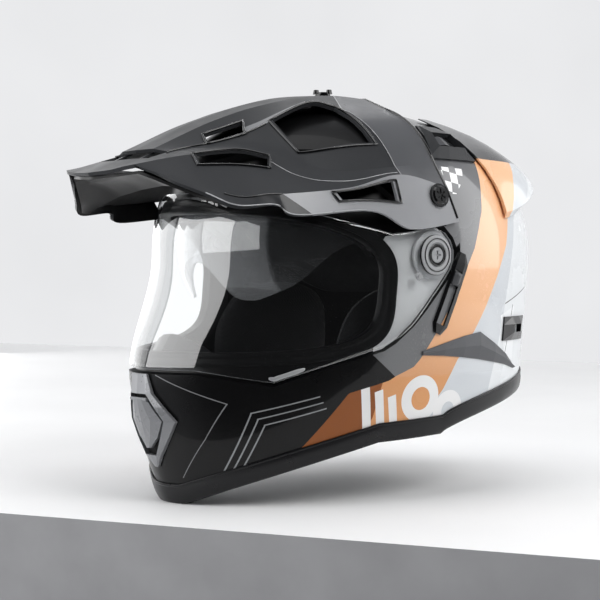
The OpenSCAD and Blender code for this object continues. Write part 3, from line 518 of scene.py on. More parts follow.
def shell_paint():
    """Black chin, grey side, warm band, pale rear and charcoal crown."""
    s = paint("shell_graphic_paint")
    y, z = s.xyz[1:]
    side = s.over(z, s.curve(y, SIDE_LOW, 0, 200))
    col = s.blend(side, srgb(BLACK), s.blend(s.span(z, 0, 1, 196, 244), srgb("646567"), srgb("444548")))
    # the band is warm at the top and darker below, into a brown foot: painted dark reflection
    band = s.over(y, s.curve(z, BAND_L, -120, 140))
    warm = s.blend(s.span(z, 0, 1, 92, 150), srgb("d69a68"), srgb("f2b98a"))
    foot = s.patch((-200, 120), (-200, -50), (-66, -50), (-44, 62), (-28, 92), (-60, 150))
    col = s.blend(band, col, s.lay(warm, foot, "8a4f24"))
    rear = s.over(y, s.curve(z, BAND_R, -120, 140))
    bright = s.patch((54, 138), (60, 20), (300, 20), (300, 400), (150, 400), (112, 250), (84, 180))
    col = s.blend(rear, col, s.blend(bright, srgb("cbcfd3"), srgb("e0e3e5")))
    col = rear_panels(s, col, rear)
    col = rings_and_slats(s, col, band)
    col = chin_lines(s, col)
    col = check_pattern(s, col)
    crown = s.patch((-400, 262), (-400, 900), (900, 900), (900, 150), (121, 222), (99, 225), (12, 250))
    col = s.lay(col, crown, "2c2d2f")
    # painted shade: nearly black below the peak and close behind its rear edge, where the coat and specular
    # are also lowered
    shade = s.patch((-400, 186), (-60, 186), (28, 199), (21.5, 224), (15, 242), (9, 284), (8, 310),
                    (-400, 310))
    col = s.lay(col, shade, BLACK)
    lit = s.times(side, s.math("SUBTRACT", 1.0, shade))
    # metal flecks, a drifting gloss with dust, and orange peel
    col = s.blend(s.span(s.noise(3.0, 2.0, 0.7), 0.0, 0.02, 0.5, 0.8), col, (0.6, 0.6, 0.6))
    dust = s.span(s.noise(0.9, 6.0, 0.75), 0.0, 0.08, 0.55, 0.8)
    return s.principled(
        Base_Color=col, Roughness=s.math("ADD", s.drift(0.22, 0.36, 0.012, 4.0), dust),
        Normal=s.bump(s.noise(0.12, 2.0), 0.06, 0.00025),
        Coat_Weight=s.math("MULTIPLY_ADD", shade, -0.2, s.span(lit, 0.3, 0.6)), Coat_Roughness=0.05,
        Specular_IOR_Level=s.span(lit, 0.12, 0.4))


def pocket_paint():
    """Recess below the visor, pale grey round the pivot."""
    s = paint("shell_pocket_paint")
    # the recess is near black outside the pale pod; above the pod, under the peak's arm, that black is
    # painted shade
    pod = s.patch((-45, 96), (-42, 180), (-36, 189), (-4, 194.5), (24, 198.5), (60, 198), (60, 96))
    pale = s.blend(s.drift(0, 1, 0.02, 4.0), srgb("d2d3d5"), srgb("dadbdc"))
    return s.principled(
        Base_Color=s.blend(pod, srgb("09090a"), pale), Roughness=s.drift(0.28, 0.38, 0.05, 4.0),
        Normal=s.bump(s.noise(0.5, 3.0), 0.08, 0.0001), Specular_IOR_Level=0.2)


def arm_paint():
    """Light grey arm of the peak, cut off on the slant."""
    s = paint("peak_arm_satin")
    a, b, cut = 0.578, 0.816, (-128, 219)
    light = s.over(s.half(s.xyz[1], s.xyz[2], a, b, -a * cut[0] - b * cut[1]), 0.0)
    grey = s.blend(s.drift(0, 1, 0.02, 4.0), srgb("919295"), srgb("9b9c9f"))
    return s.principled(
        Base_Color=s.blend(light, srgb("1c1d1f"), grey), Roughness=s.drift(0.28, 0.38, 0.05, 5.0, 0.6),
        Normal=s.bump(s.noise(1.3, 3.0, 0.6), 0.3, 0.00004), Coat_Weight=0.15, Coat_Roughness=0.15,
        Specular_IOR_Level=0.3)


def cover_paint():
    """Grey pivot cover with a black centre and outer wall."""
    s = paint("pivot_cover_satin")
    y, up = s.xyz[1], s.math("SUBTRACT", s.xyz[2], PIVOT_Z)
    r = s.math("SQRT", s.math("ADD", s.times(y, y), s.times(up, up)))
    face = s.times(s.over(r, 7.0), s.over(COVER_R - 0.3, r))
    grey = s.blend(s.drift(0, 1, 0.05, 4.0), srgb("a4a5a7"), srgb("adaeb0"))
    return s.principled(
        Base_Color=s.blend(face, srgb(BLACK), grey), Roughness=s.drift(0.26, 0.38, 0.1, 4.0),
        Normal=s.bump(s.noise(1.3, 3.0), 0.25, 0.00004), Specular_IOR_Level=0.3)


LOOKS = {
    "paint": shell_paint(),
    "pocket": pocket_paint(),
    "inner": plastic("shell_inside", "080809", 0.6, 0.08, 0.4),
    "gap": plastic("shell_gap", "060607", 0.5, 0.08, 0.3, spec=0.15),
    "peak": plastic("peak_satin", "313234", 0.36, 0.05, 0.3, 1.3, spec=0.1),
    "peak_mid": plastic("peak_mid_satin", "505154", 0.32, 0.05, 0.3, 1.3),
    "peak_arm": arm_paint(),
    "cover": cover_paint(),
    "under": plastic("peak_underside", "060607", 0.5, 0.08, 0.3, spec=0.1),
    "bezel": lacquer("bezel_satin", "808184"),
    "pod": plastic("pod_satin", "d2d3d5", 0.33, 0.03, 0.2, 1.3),
    # painted light: a lighter grey for a steep band of the peak that is lit
    "peak_lit_band": plastic("peak_strip_satin", "77787a", 0.33, 0.05, 0.3, 1.3, spec=0.25),
    "lip": plastic("peak_lip_gloss", "0c0c0d", 0.12, 0.05, 0.1, 0.6, coat=0.6, coat_rough=0.02, spec=0.4),
    "nose": plastic("nose_gloss", "0c0c0d", 0.32, 0.05, 0.1, 0.5, coat=0.08, coat_rough=0.1, spec=0.1),
    "gloss": plastic("gloss_black", "080809", 0.16, 0.05, 0.05, 0.3, coat=0.5, coat_rough=0.03),
    "satin": plastic("satin_black", "111113", 0.42, 0.06, 0.3),
    "trim": plastic("trim_rubber", "111113", 0.32, 0.07, 0.3, 1.0, coat=0.2, coat_rough=0.12),
    "rubber": plastic("seal_rubber", "070708", 0.4, 0.08, 0.5, 1.4, spec=0.15),
    "grey": plastic("grey_satin", "3a3b3e", 0.34, 0.06, 0.3, coat=0.2, coat_rough=0.12, spec=0.3),
    "fin": plastic("fin_satin", "57585b", 0.4, 0.05, 0.3, 1.3, spec=0.25),
    "silver": lacquer("silver_satin", "a2a3a5"),
    "metal": plastic("bright_metal", "b4b4b6", 0.22, 0.07, 0.2, 2.2, metal=1.0, spec=0.5),
    "foam": plastic("bead_foam", "060607", 0.85, 0.05, 1.0, 0.35, depth=0.0006, spec=0.1),
    "mesh": plastic("vent_mesh", "050506", 0.6, 0.1, 0.8, 0.8, depth=0.0004, spec=0.15),
    "cloth": fabric("lining_knit", "060607", "101113", 1.1, 0.05),
    "cloth2": fabric("lining_brushed", "070708", "131417", 0.8, 0.08),
    "web": fabric("strap_webbing", "0e0e10", "222225", 2.0, 0.15),
    "clear": clear_plastic("clear_visor", (0.985, 0.99, 0.99), 0.0012, 0.005),
    "visor_edge": clear_plastic("clear_visor_edge", (0.9, 0.92, 0.94), 0.5, 0.1),
    "smoke": clear_plastic("smoke_visor", (0.74, 0.75, 0.76), 0.2, 0.02, wide=56),
    "kite": plastic("kite_satin", "7c7d80", 0.3, 0.06, 0.3, 1.8, coat=0.2, coat_rough=0.1, spec=0.35),
}

# Shell
# bearings of the columns where the shell's outlines bend
BENDS = [0, 8, 16, 24, 32, 40, 48, 56, 63, 69, 73, 76, 79, 84, 90, 93.5, 96, POCKET_END, 98.5, 104, 112, 121,
        130, 140, 150, 160, 170]


def fine_cols(step=2.0):
    """Bearings of BENDS on both sides, and more between them."""
    cols = set(BENDS) | {-v for v in BENDS if v} | {180.0}
    for v in np.arange(-180 + step, 180, step):
        if min(abs(v - k) for k in cols) > step * 0.35:
            cols.add(float(v))
    return np.array(sorted(cols))


COLS = fine_cols()


def shell_lines(a):
    """Height, share of the pocket's depth and zone of each row, rim to crown."""
    lo, hi, rim = zone_lo(a), zone_hi(a), rim_z(a) + 2.2
    p = (a <= POCKET_END).astype(float)
    skin = 0 * a
    by_port = a <= PORT_A
    rows = [(rim, skin), (mix(rim, lo, 1 / 3), skin), (mix(rim, lo, 2 / 3), skin), (lo, skin),
            (np.where(p > 0, lo + 1.2, mix(lo, hi, 0.2)), p),
            (np.where(by_port, port_lo(a), mix(lo, hi, 0.4)), p),
            (np.where(by_port, port_hi(a), mix(lo, hi, 0.6)), p),
            (np.where(p > 0, hi - 1.5, mix(lo, hi, 0.8)), p), (hi, skin)]
    cuts = [5, 5, 5, 2, 3, 6, 5, 2]
    steps = (3, 7)
    z, depth, zone = [], [], []
    for i, n in enumerate(cuts):
        for f in np.arange(n) / n:
            z.append(mix(rows[i][0], rows[i + 1][0], f))
            depth.append(mix(rows[i][1], rows[i + 1][1], ease(f) if i in steps else f))
            zone.append(i)
    top = np.degrees(np.arcsin((hi - PIVOT_Z) / CROWN_H))
    tiers = 27
    for k in range(tiers - 1):
        z.append(crown_z(mix(top, 90, k / tiers)))
        depth.append(skin)
        zone.append(len(cuts))
    return np.array(z), np.array(depth), zone


def build_shell():
    a = np.abs(COLS)
    z, depth, zone = shell_lines(a)
    outer = at(COLS, z, -POCKET * depth)
    inner = at(COLS, z, -POCKET * depth - WALL)
    eye_zone = 5
    port = np.maximum(a, np.roll(a, -1)) <= PORT_A
    keep = ~((np.array(zone[:-1]) == eye_zone)[:, None] & port)
    crown = PIVOT_Z + CROWN_H
    pts, faces, tags = grid_data(outer, inner, True, [[0, 0, crown], [0, 0, crown - WALL]], keep)
    # outer faces get tag 3 on the pocket's step and tag 4 on its floor
    deep = depth.ravel()
    for i, f in enumerate(faces):
        if tags[i] == 0 and max(f) < depth.size:
            low = deep[list(f)]
            tags[i] = 3 if np.ptp(low) > 0.01 else 4 if low.min() > 0.9 else 0
    make("shell", pts, faces, ["paint", "inner", "paint", "gap", "pocket"], tags, sharp=25,
         slot="shell_paint", node="outer_shell")


def build_trim():
    """Rubber channel round the rim, its section as (height, distance out)."""
    inside, top = -WALL - 2.2, TRIM_H
    prof = [(0, inside), (top - 3, inside), (top - 3, -WALL - 0.6), (2, -WALL - 0.6), (2, 0.3),
            (top - 1.2, 0.3), (top, 0.6), (top - 0.3, 1.3), (top - 1, 1.6), (top - 1.6, 1.6), (top - 2, 1.2),
            (top - 2.6, 1.3), (8, 2.15), (4, 2.25), (2, 2.1), (0.6, 1.7), (0, 1.2)]
    rings = np.stack([at(COLS, rim_z(COLS) + a, b) for a, b in prof], 1)
    sweep("rim_trim", rings, "trim", closed=True, sharp=40, slot="trim_rubber", node="base_trim")


def build_gasket():
    """Lipped seal, its section as (distance from the opening, distance out)."""
    # places round the opening, closer at its lower corners
    bend = [3, 8, 15, 25, 36, 48, 58, 67, 74, 80, 84, 87, 88.7, 89.6, 90]
    low = np.interp(np.linspace(0, 14, 57), range(15), bend)
    q = np.concatenate([np.arange(0, 180.1, 2.0), 180 + low, 360 - low[-2::-1]])
    c, s = np.cos(np.radians(q)), np.sin(np.radians(q))
    n = np.where(s >= 0, 2.6, 5.0)
    lip = 1.7 - POCKET - 1.3 * ease(1 - np.abs(np.abs(q - 90) - 55) / 45) * (s > 0)
    seat, foot = FACET_GAP - POCKET, -POCKET - WALL - FACET_GAP - 0.5

    def edge(g, off):
        return at((PORT_A + 0.2 + g / 2) * np.sign(c) * np.abs(c) ** (2 / n),
                  PORT_Z + (PORT_H + g) * np.sign(s) * np.abs(s) ** (2 / n), off)

    prof = [(5, np.maximum(lip - 0.6, seat + GAP)), (5.2, seat), (-2.2, seat), (-2.2, foot), (5, foot),
            (5, foot - 1), (-4, foot - 1), (-4.4, foot - 0.6), (-4.6, lip - 0.9), (-4.2, lip - 0.2),
            (-2.6, lip), (-1.4, lip), (-0.4, lip - 0.5), (0.6, lip - 0.5), (1.6, lip - 0.1), (3.6, lip - 0.2)]
    rings = np.stack([edge(g, off) for g, off in prof], 1)
    sweep("eyeport_seal", rings, "rubber", closed=True, sharp=45, slot="trim_rubber", node="eyeport_gasket")


# Visor
def visor_at(t, z, off):
    """Points of the visor: on the skin in front, in a flat plane round the pivot."""
    flat_y, skin_y = 14, 34
    p = at(t, z, off)
    y = p[..., 1]
    k = np.where(y < 0, ease((-y - flat_y) / (skin_y - flat_y)), 0)
    near = (np.abs(y) <= skin_y) & (np.abs(np.broadcast_to(t, y.shape)) >= 60)
    x = np.sign(p[..., 0]) * mix(HALF_W + off, np.abs(p[..., 0]), k)
    p[..., 0] = np.where(near, x, p[..., 0])
    return p


def build_visor():
    bends = {0, 7, 14, 22, 30, 38, 46, 54, 62, 69, 76, 80, 84, 88, 91, 93.5, 95.3, 96.1}
    half = sorted(bends | set(np.arange(0, 96, 1.5).tolist()))
    t = np.array([-v for v in reversed(half) if v > 0] + half)
    ks = np.concatenate([[0, 0.012], np.linspace(0.03, 0.97, 24), [0.988, 1.0]])[:, None]
    z = mix(visor_lo(np.abs(t)), visor_hi(np.abs(t)), ks)
    bevel = np.where((ks < 0.005) | (ks > 0.995), 0.45, 0)
    grid("visor_pane", visor_at(t, z, -bevel), visor_at(t, z, bevel - VISOR_T),
         ["clear", "clear", "visor_edge"], sharp=50, body="visor_group", slot="clear_visor", node="visor")


def build_visor_tab():
    """Lifting tab at the visor's lower edge, on the left."""
    first, last = 44.5, 54.5
    t = np.linspace(first, last, 21)[:, None]
    fat = np.clip(np.minimum(t - first, last - t) / 2, 0, 1) ** 0.5
    q = around(30)
    z = visor_lo(t) + 2.6 + 1.7 * np.sin(q) * (0.4 + 0.6 * fat)
    sweep("visor_tab", at(t, z, 0.1 + 0.9 * fat * np.maximum(np.cos(q), -0.1)), "silver", sharp=60,
          body="visor_group", slot="grey_plastic")


def build_sun_visor():
    """Smoked pane, round its own hinge line."""
    side = SUN_W - 2 - 0.4
    x = np.linspace(-side, side, 121)
    low = lookup(np.abs(x), [
        (0, -10), (6, -11), (14, -16), (20, -23), (26, -31), (40, -35), (66, -34), (76, -30), (84, -22),
        (90, -13), (94, -8)])
    for _ in range(4):
        low[1:-1] = (low[:-2] + 2 * low[1:-1] + low[2:]) / 4
    high = lookup(np.abs(x), [(0, 16), (66, 16), (84, 22), (94, 26)])
    f = np.radians(mix(low, high, np.linspace(0, 1, 25)[:, None]))
    r = SUN_R * dome(np.abs(x) / SUN_W, 1.75)
    g = np.stack([np.broadcast_to(x, f.shape), -SUN_Y - r * np.cos(f), SUN_HZ + r * np.sin(f)], -1)
    grid("sun_visor_pane", g, sunk(g, SUN_T), "smoke", sharp=50, body="sun_visor_group", slot="smoke_visor",
         node="sun_visor")


# Peak
# rows i from tip to rear, columns j from the middle to the left, z above the pivot
PEAK_NET = np.array([
    [[0, -210, 56], [24, -207, 57], [38, -204, 59], [45, -201, 60], [47, -199, 58.5], [48, -197, 56.5]],
    [[0, -170, 74], [20, -168, 74], [33, -164, 71], [46, -166, 67], [76, -172, 46], [84, -172, 41]],
    [[0, -132, 92], [20, -130, 91], [40, -138, 77], [58, -128, 72], [96, -152, 38], [102, -158, 32]],
    [[0, -108, 101], [20, -106, 100], [44, -119, 82.5], [72, -110, 68], [104, -134, 40], [107, -130, 33]],
    [[0, -88, 108], [22, -86, 106.5], [48, -102, 89], [84, -92, 63.5], [109, -116, 41], [114, -117, 26]],
    [[0, -52, 117], [28, -50, 115.5], [50, -58, 109], [100, -68, 58], [116, -72, 46], [120, -56, 30]],
    [[0, -14, 121], [28, -16, 119], [58, -33, 106], [111, -28, 62], [119.5, -30, 56], [125, -24, 18]],
    [[0, 18, 120], [30, 14, 118], [67, 4, 107], [112, 9, 66], [119.5, 14, 48], [125, 21, 24]]], float)
# openings: first and last i, first and last j
PEAK_GAPS = [(0.55, 0.95, 0, 2), (2, 3.5, 1.5, 2), (1.3, 3, 3, 3.3), (4.33, 5.8, 2, 2.7),
             (4.7, 5.8, 4.12, 4.5)]
# beads along the peak: name, places, radius, lift and look; the silver beads are painted highlights, pale
# lines where edges would catch the light
PEAK_BEADS = [
    ("peak_ridge", [(0.9, 2.0), (4.2, 2.0)], 0.8, 0.2, "lip"),
    ("peak_seam", [(1.6, 4.0), (3.6, 4.0)], 0.6, 0.1, "lip"),
    ("peak_line_highlight", [(3.1, 3.15), (4.4, 3.55), (5.95, 3.75)], 0.32, 0.05, "silver"),
    ("peak_arch_highlight", [(6.0, 1.0), (6.0, 2.0), (6.0, 3.0), (6.0, 4.0)], 0.32, 0.05, "silver"),
    ("peak_rim", [(6.97, j) for j in (0.05, 1.0, 2.0, 3.0, 4.0, 4.9)], 1.2, -0.35, "lip"),
    ("peak_edge_highlight", [(1.05, 4.97), (4.9, 4.97)], 0.45, 0.2, "silver")]


def peak_pt(i, j):
    """Point of the peak: smooth along i, straight across j, fuller by the rear openings."""
    k = min(floor(i), 6)
    u = i - k
    m = min(floor(abs(j)), 4)
    v = abs(j) - m
    a, b, c, d = (PEAK_NET[q][m:m + 2] for q in (max(0, k - 1), k, k + 1, min(7, k + 2)))
    edge = b + 0.5 * u * (c - a + u * (2 * a - 5 * b + 4 * c - d + u * (3 * (b - c) + d - a)))
    bulge = 26 * v * (1 - v) * float(ease((i - 4.2) / 1.4)) if m == 2 else 0.0
    s = mix(edge[0], edge[1], v) + bulge * np.array([0.6, 0, 0.8])
    return np.array([s[0] * (-1 if j < 0 else 1), s[1], PIVOT_Z + s[2]])


def net_lines(last, step, extra):
    """Even lines of the peak's grid, and the extra ones."""
    return sorted(set(np.arange(0, last + step / 2, step).tolist()) | set(extra))


def build_peak():
    iis = net_lines(7, 0.125, [v for gap in PEAK_GAPS for v in gap[:2]] + [1.65])
    js = net_lines(5, 0.25, [v for gap in PEAK_GAPS for v in gap[2:]] + [2.35, 3.65])
    js = [-v for v in reversed(js) if v > 0] + js
    g = np.array([[peak_pt(i, j) for j in js] for i in iis])
    keep = np.ones((len(iis) - 1, len(js) - 1), bool)
    looks = ["peak", "peak_arm", "peak_mid", "under", "peak_lit_band"]
    arm, mid, under, strip = range(1, 5)
    region = np.zeros(keep.shape, int)
    for a, i in enumerate(iis[:-1]):
        for b in range(len(js) - 1):
            lo, hi = sorted((abs(js[b]), abs(js[b + 1])))
            for first, last, inner, outer in PEAK_GAPS:
                if first <= i < last and lo >= inner and hi <= outer:
                    keep[a, b] = False
            if lo >= 4 and i >= 3.5:
                region[a, b] = arm
            elif lo >= 1 and i >= 6:
                region[a, b] = mid
            # painted light: a lighter grey on the steep band by column 2 of the peak, which is lit
            elif lo >= 1.75 and hi <= 2 and 3.5 <= i < 5.5:
                region[a, b] = strip
    pts, faces, tags = grid_data(g, sunk(g, PEAK_T), keep=keep)
    slots = []
    for face, tag in zip(faces, tags):
        a, b = divmod(face[0] % (len(iis) * len(js)), len(js))
        slots.append(under if tag == 1 else region[min(a, len(iis) - 2), min(b, len(js) - 2)])
    make("peak_sheet", pts, faces, looks, slots, sharp=9, bevel=0.5, limit=10, slot="peak_plastic",
         node="peak")


def peak_normal(i, j):
    e = 0.02
    i, j = min(max(i, e), 7 - e), min(max(j, e), 5 - e)
    n = np.cross(peak_pt(i + e, j) - peak_pt(i - e, j), peak_pt(i, j + e) - peak_pt(i, j - e))
    n = n / np.linalg.norm(n)
    return n if n[2] > 0 or n[0] > 0.8 else -n


def peak_bead(name, path, radius, lift, look, closed=False):
    """Round bead along (i, j) places of the peak, on both sides."""
    fine = []
    for (i0, j0), (i1, j1) in zip(path, path[1:] + path[:1] if closed else path[1:]):
        n = max(2, int(8 * max(abs(i1 - i0), abs(j1 - j0)) + 2))
        fine += [(mix(i0, i1, k / n), mix(j0, j1, k / n)) for k in range(n)]
    if not closed:
        fine.append(path[-1])
    up = np.array([peak_normal(i, j) for i, j in fine])
    p = np.array([peak_pt(i, j) for i, j in fine]) + up * lift
    d = np.roll(p, -1, 0) - np.roll(p, 1, 0) if closed else np.gradient(p, axis=0)
    d = d / np.linalg.norm(d, axis=1, keepdims=True)
    u = np.cross(d, up)
    u = u / np.linalg.norm(u, axis=1, keepdims=True)
    rings = np.stack([p + radius * (u * cos(q) + np.cross(d, u) * sin(q)) for q in around(45)], 1)
    for label, flip in SIDES:
        sweep(name + "_" + label, rings, look, closed=closed, sharp=60, slot="peak_plastic", mirror=flip)


def build_peak_lips():
    """Lips round all openings but the nose slot, and the other beads."""
    a, b = 0.06, 0.03
    for k, (i0, i1, j0, j1) in enumerate(PEAK_GAPS[1:], 1):
        loop = [(i0 - a, j0 - b), (i0 - a, j1 + b), (i1 + a, j1 + b), (i1 + a, j0 - b)]
        peak_bead("peak_lip_%d" % k, loop, 0.9, 0.5, "lip", closed=True)
    for bead in PEAK_BEADS:
        peak_bead(*bead)


def build_front_panel():
    """Panel under the nose of the peak. Its edges have z above the pivot."""
    top = np.array([[0, -206, 52.6], [22, -203, 53.4], [43, -196, 55], [78, -170, 38], [94, -160, 32.6]])
    low = np.array([[0, -149, 50], [25, -150.5, 48], [50, -153.5, 44], [74, -157, 37], [90, -158, 31.6]])
    rise, thick = 24, 2
    js = np.linspace(-4, 4, 49)
    m = np.abs(js)
    a, b = (np.stack([np.interp(m, range(5), w[:, c]) for c in range(3)], -1) for w in (top, low))
    k = np.linspace(0, 1, 17)[:, None, None]
    g = mix(a, b, k)
    g[..., 2] += PIVOT_Z + rise * (k * (1 - k))[..., 0] * (4 - m) / 4
    g[..., 0] *= np.where(js >= 0, 1, -1)
    up = np.array([0, 0, thick / 2])
    grid("peak_nose_panel", g + up, g - up, "nose", sharp=20, slot="peak_plastic", node="peak_front_panel")


# Padding
def liner_in(z):
    """Depth of the liner's inner face."""
    return mix(LINER_LOW, LINER_D, ease((z - PIVOT_Z + 20) / 20))


def build_comfort():
    """Quilted lining, sewn in gores with one seam across."""
    t = np.arange(-177, 180.1, 3.0)
    a = np.abs(t)
    foot = np.where(a < 80, port_hi(a) + 14 + 10 * ease((a - 50) / 26),
                    PIVOT_Z - 6 + 16 * ease((90 - a) / 10) - 24 * ease((a - 90) / 30))
    first = np.degrees(np.arcsin(np.clip((foot - PIVOT_Z) / CROWN_H, -1, 1)))
    ks = np.linspace(0, 1, 40)[:-1, None]
    wall = 0.15
    above = crown_z(90 * np.clip((ks - wall) / (1 - wall), 0, 1))
    side = np.where(ks < wall, mix(foot, PIVOT_Z, ks / wall), above)
    z = np.where(foot < PIVOT_Z, side, crown_z(mix(np.maximum(first, 0), 90, ks)))
    plump = COMFORT_T * (0.45 + 0.5 * ease(ks / 0.1)) * (0.9 + 0.1 * np.cos(np.radians(15 * t)))
    seam = 1 - 0.55 * np.exp(-(((t + 7.5) % 30 - 15) / 1.6) ** 2) - 0.3 * np.exp(-((ks - 0.5) / 0.02) ** 2)
    back = -liner_in(z) - LINING_GAP
    top = PIVOT_Z + CROWN_H - LINER_D - LINING_GAP
    o = grid("comfort_lining", at(t, z, back), at(t, z, back - plump * np.clip(seam, 0.3, 1)), "cloth",
             wrap=True, poles=[[0, 0, top], [0, 0, top - COMFORT_T]], sharp=60, slot="lining_fabric",
             node="comfort_liner")


def build_cheek(side, flip):
    """Crowned cheek pad with a sewn channel inside its edge."""
    mid_t, mid_z, seat = 91, PIVOT_Z - 66, LINER_LOW + FACET_GAP
    rs = [1, 0.99, 0.97, 0.94, 0.9, 0.85, 0.8, 0.72, 0.64, 0.55, 0.46, 0.37, 0.28, 0.18, 0.08]
    rs = np.array(rs)[:, None]
    q = around(5)
    s, c = np.sin(q), np.cos(q)
    t = mid_t + 25 * rs * np.sign(c) * np.abs(c) ** 0.75
    z = mid_z + 44 * rs * np.sign(s) * np.abs(s) ** 0.75 + 6 * rs * c
    deep = seat + 4 * ease((z - PIVOT_Z + 60) / 26)
    back = at(t, z, -deep - 2 * rs ** 6)
    puff = (CHEEK_T - 6) * (1 - rs * rs * 0.98) ** 0.6
    seam = 1.8 * np.exp(-((rs - 0.76) / 0.025) ** 2)
    face = at(t, z, -deep - 6 * (1 - 0.25 * rs ** 8) - puff + seam)
    poles = [at(mid_t, mid_z, -seat), at(mid_t, mid_z, -seat - CHEEK_T)]
    o = grid("cheek_cushion_" + side, back, face, "cloth2", wrap=True, poles=poles, sharp=70,
             slot="lining_fabric", node="cheek_pad_" + side, mirror=flip)


def build_neck_roll():
    """Roll along the nape, thin at its ends."""
    first, last = 112, 248
    t = np.linspace(first, last, 91)
    fat = mix(0.45, 1, np.clip(np.sin(np.radians(180 * (t - first) / (last - first))), 0, 1) ** 0.4)
    rings = []
    for q in around(15):
        seam = 1 - 0.12 * exp(-((q - pi) / 0.25) ** 2)
        rings.append(at(t, rim_z(t) + 17 + 9.7 * fat * sin(q), -15.6 - 10.7 * fat * cos(q) * seam))
    o = sweep("neck_roll_cushion", np.stack(rings, 1), "cloth", sharp=70, slot="lining_fabric",
              node="neck_roll")


def build_curtain():
    """Cloth below the chin, sagging between its edges."""
    end, reach, thick = 58, 38, 1.2
    t = np.linspace(-end, end, 59)
    k = np.linspace(0, 1, 21)[:, None]
    d = -WALL - 2.9 - k * reach * (1 - 0.6 * (np.abs(t) / end) ** 2)
    z = rim_z(t) + 8.1 - 3 * np.sin(np.pi * k) + 0.07 * np.sin(np.radians(t * 14)) * k
    o = grid("chin_flap_cloth", at(t, z + thick, d), at(t, z, d), "cloth", sharp=60, slot="lining_fabric",
             node="chin_curtain")


# the strap's route from rivet to ring, as in the CAD source
STRAP = np.array([[89, 4, 70], [89, 4, 59], [84, 2, 52], [69, -4, 46], [48, -9, 41], [28, -12, 38],
                  [19.2, -13, 37.4]], float)


def build_strap(side, flip):
    u = np.linspace(0, 6, 73)
    p = np.stack([np.interp(u, range(7), STRAP[:, c]) for c in range(3)], -1)
    for _ in range(6):
        p[1:-1] = (p[:-2] + 2 * p[1:-1] + p[2:]) / 4
    d = np.gradient(p, axis=0)
    n = np.stack([d[:, 2], 0 * d[:, 0], -d[:, 0]], -1)
    n = n / np.linalg.norm(n, axis=1, keepdims=True) * 0.95
    half = STRAP_W / 2
    across = np.linspace(-1, 1, 9) * half
    rings = [p + face * n * (1 - 0.35 * abs(w) / half) + np.array([0, w, 0])
             for face, ws in ((1, across), (-1, across[::-1])) for w in ws]
    sweep("strap_" + side, np.stack(rings, 1), "web", sharp=60, slot="webbing", node="chin_strap_" + side,
          mirror=flip)


# Fittings
def build_spoiler():
    """Wing round the back of the crown with a lip below."""
    t = np.linspace(118, 242, 125)
    a = np.where(t > 180, 360 - t, t)
    lip = PIVOT_Z + mix(31, 58, ease((a - 116) / 38))
    rise = 13 * (0.1 + 0.9 * ease((a - 116) / 20))
    ks = np.array([0, 0.03, 0.06, 0.12, 0.2, 0.3, 0.45, 0.6, 0.75, 0.9, 1])[:, None]
    h = lookup(ks, [(0, 1), (0.12, 0.96), (0.45, 0.62), (0.75, 0.34), (1, 0.08)])
    z = mix(lip, PIVOT_Z + 101, ks)
    seat = PLATE_GAP + 0.6
    grid("rear_wing", at(t, z, h * rise + seat + 0.6), at(t, z - 4 * (ks < 0.01), seat), "paint", sharp=25,
         bevel=0.5, slot="peak_plastic", node="rear_spoiler")


def build_pivot_rings():
    """Thin rings round the face of each pivot cover."""
    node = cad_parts["pivot_cover"]
    x0 = 1000 * max((node.matrix_world @ v.co).x for v in node.data.vertices)
    wire = 0.45
    for label, side in (("left", 1), ("right", -1)):
        for k, r in enumerate((11.6, 7.4)):
            prof = [(r + wire * cos(q), x0 + wire * sin(q)) for q in around(45)]
            rings = [[(side * x, b * cos(a), PIVOT_Z + b * sin(a)) for b, x in prof] for a in around(5)]
            sweep("pivot_ring_%d_%s" % (k, label), np.array(rings), "lip", closed=True, sharp=60,
                  slot="grey_plastic")


def carry(node, look):
    """Give a look to a CAD piece that shows as it is."""
    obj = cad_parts[node]
    for s in obj.material_slots:
        s.link = "OBJECT"
        s.material = LOOKS[look]
    if not obj.material_slots:
        obj.data.materials.append(LOOKS[look])


CARRIED = {
    "foam": ["impact_liner", "chin_liner"],
    "silver": ["visor_stud", "pivot_screw"],
    "pod": ["base_plate_left", "base_plate_right"],
    "cover": ["pivot_cover"],
    "satin": ["sun_hinge", "peak_side_mount", "peak_top_mount", "breath_guard"],
    "gloss": ["slider_housing", "peak_side_screw", "peak_top_screw", "rear_vent_left", "rear_vent_right"],
    "grey": ["slider_knob", "peak_bars", "crown_slider_left", "crown_slider_right"],
    "bezel": ["chin_vent_frame"],
    "kite": ["chin_vent_flap"],
    "mesh": ["chin_vent_mesh"],
    "peak": ["crown_vent_left", "crown_vent_right"],
    "fin": ["side_fin_left", "side_fin_right"],
    "metal": ["strap_rings", "strap_anchor"],
}

for build in (build_shell, build_trim, build_gasket, build_visor, build_visor_tab, build_sun_visor,
              build_peak, build_peak_lips, build_front_panel, build_comfort):
    build()
for label, flip in SIDES:
    build_cheek(label, flip)
build_neck_roll()
build_curtain()
for label, flip in SIDES:
    build_strap(label, flip)
build_spoiler()
build_pivot_rings()
for look, nodes in CARRIED.items():
    for node in nodes:
        carry(node, look)

# Camera place and the directions of the view (m)
VIEW_AZ, VIEW_DIST, VIEW_RISE = radians(51.0), 1.2, 0.03
VIEW_EL = asin(VIEW_RISE / VIEW_DIST)
BACK = Vector((sin(VIEW_AZ) * cos(VIEW_EL), -cos(VIEW_AZ) * cos(VIEW_EL), sin(VIEW_EL)))
RIGHT = Vector((cos(VIEW_AZ), sin(VIEW_AZ), 0))
AWAY = Vector((-sin(VIEW_AZ), cos(VIEW_AZ), 0))
UP = BACK.cross(RIGHT)
EYE = Vector((0, SHIFT_Y / 1000, 0.142)) + BACK * VIEW_DIST


def floor_pt(d, r, z=0.0):
    """Point at distance d along the view and r to its right."""
    p = Vector((EYE.x, EYE.y, 0)) + AWAY * d + RIGHT * r
    return (p.x, p.y, z)


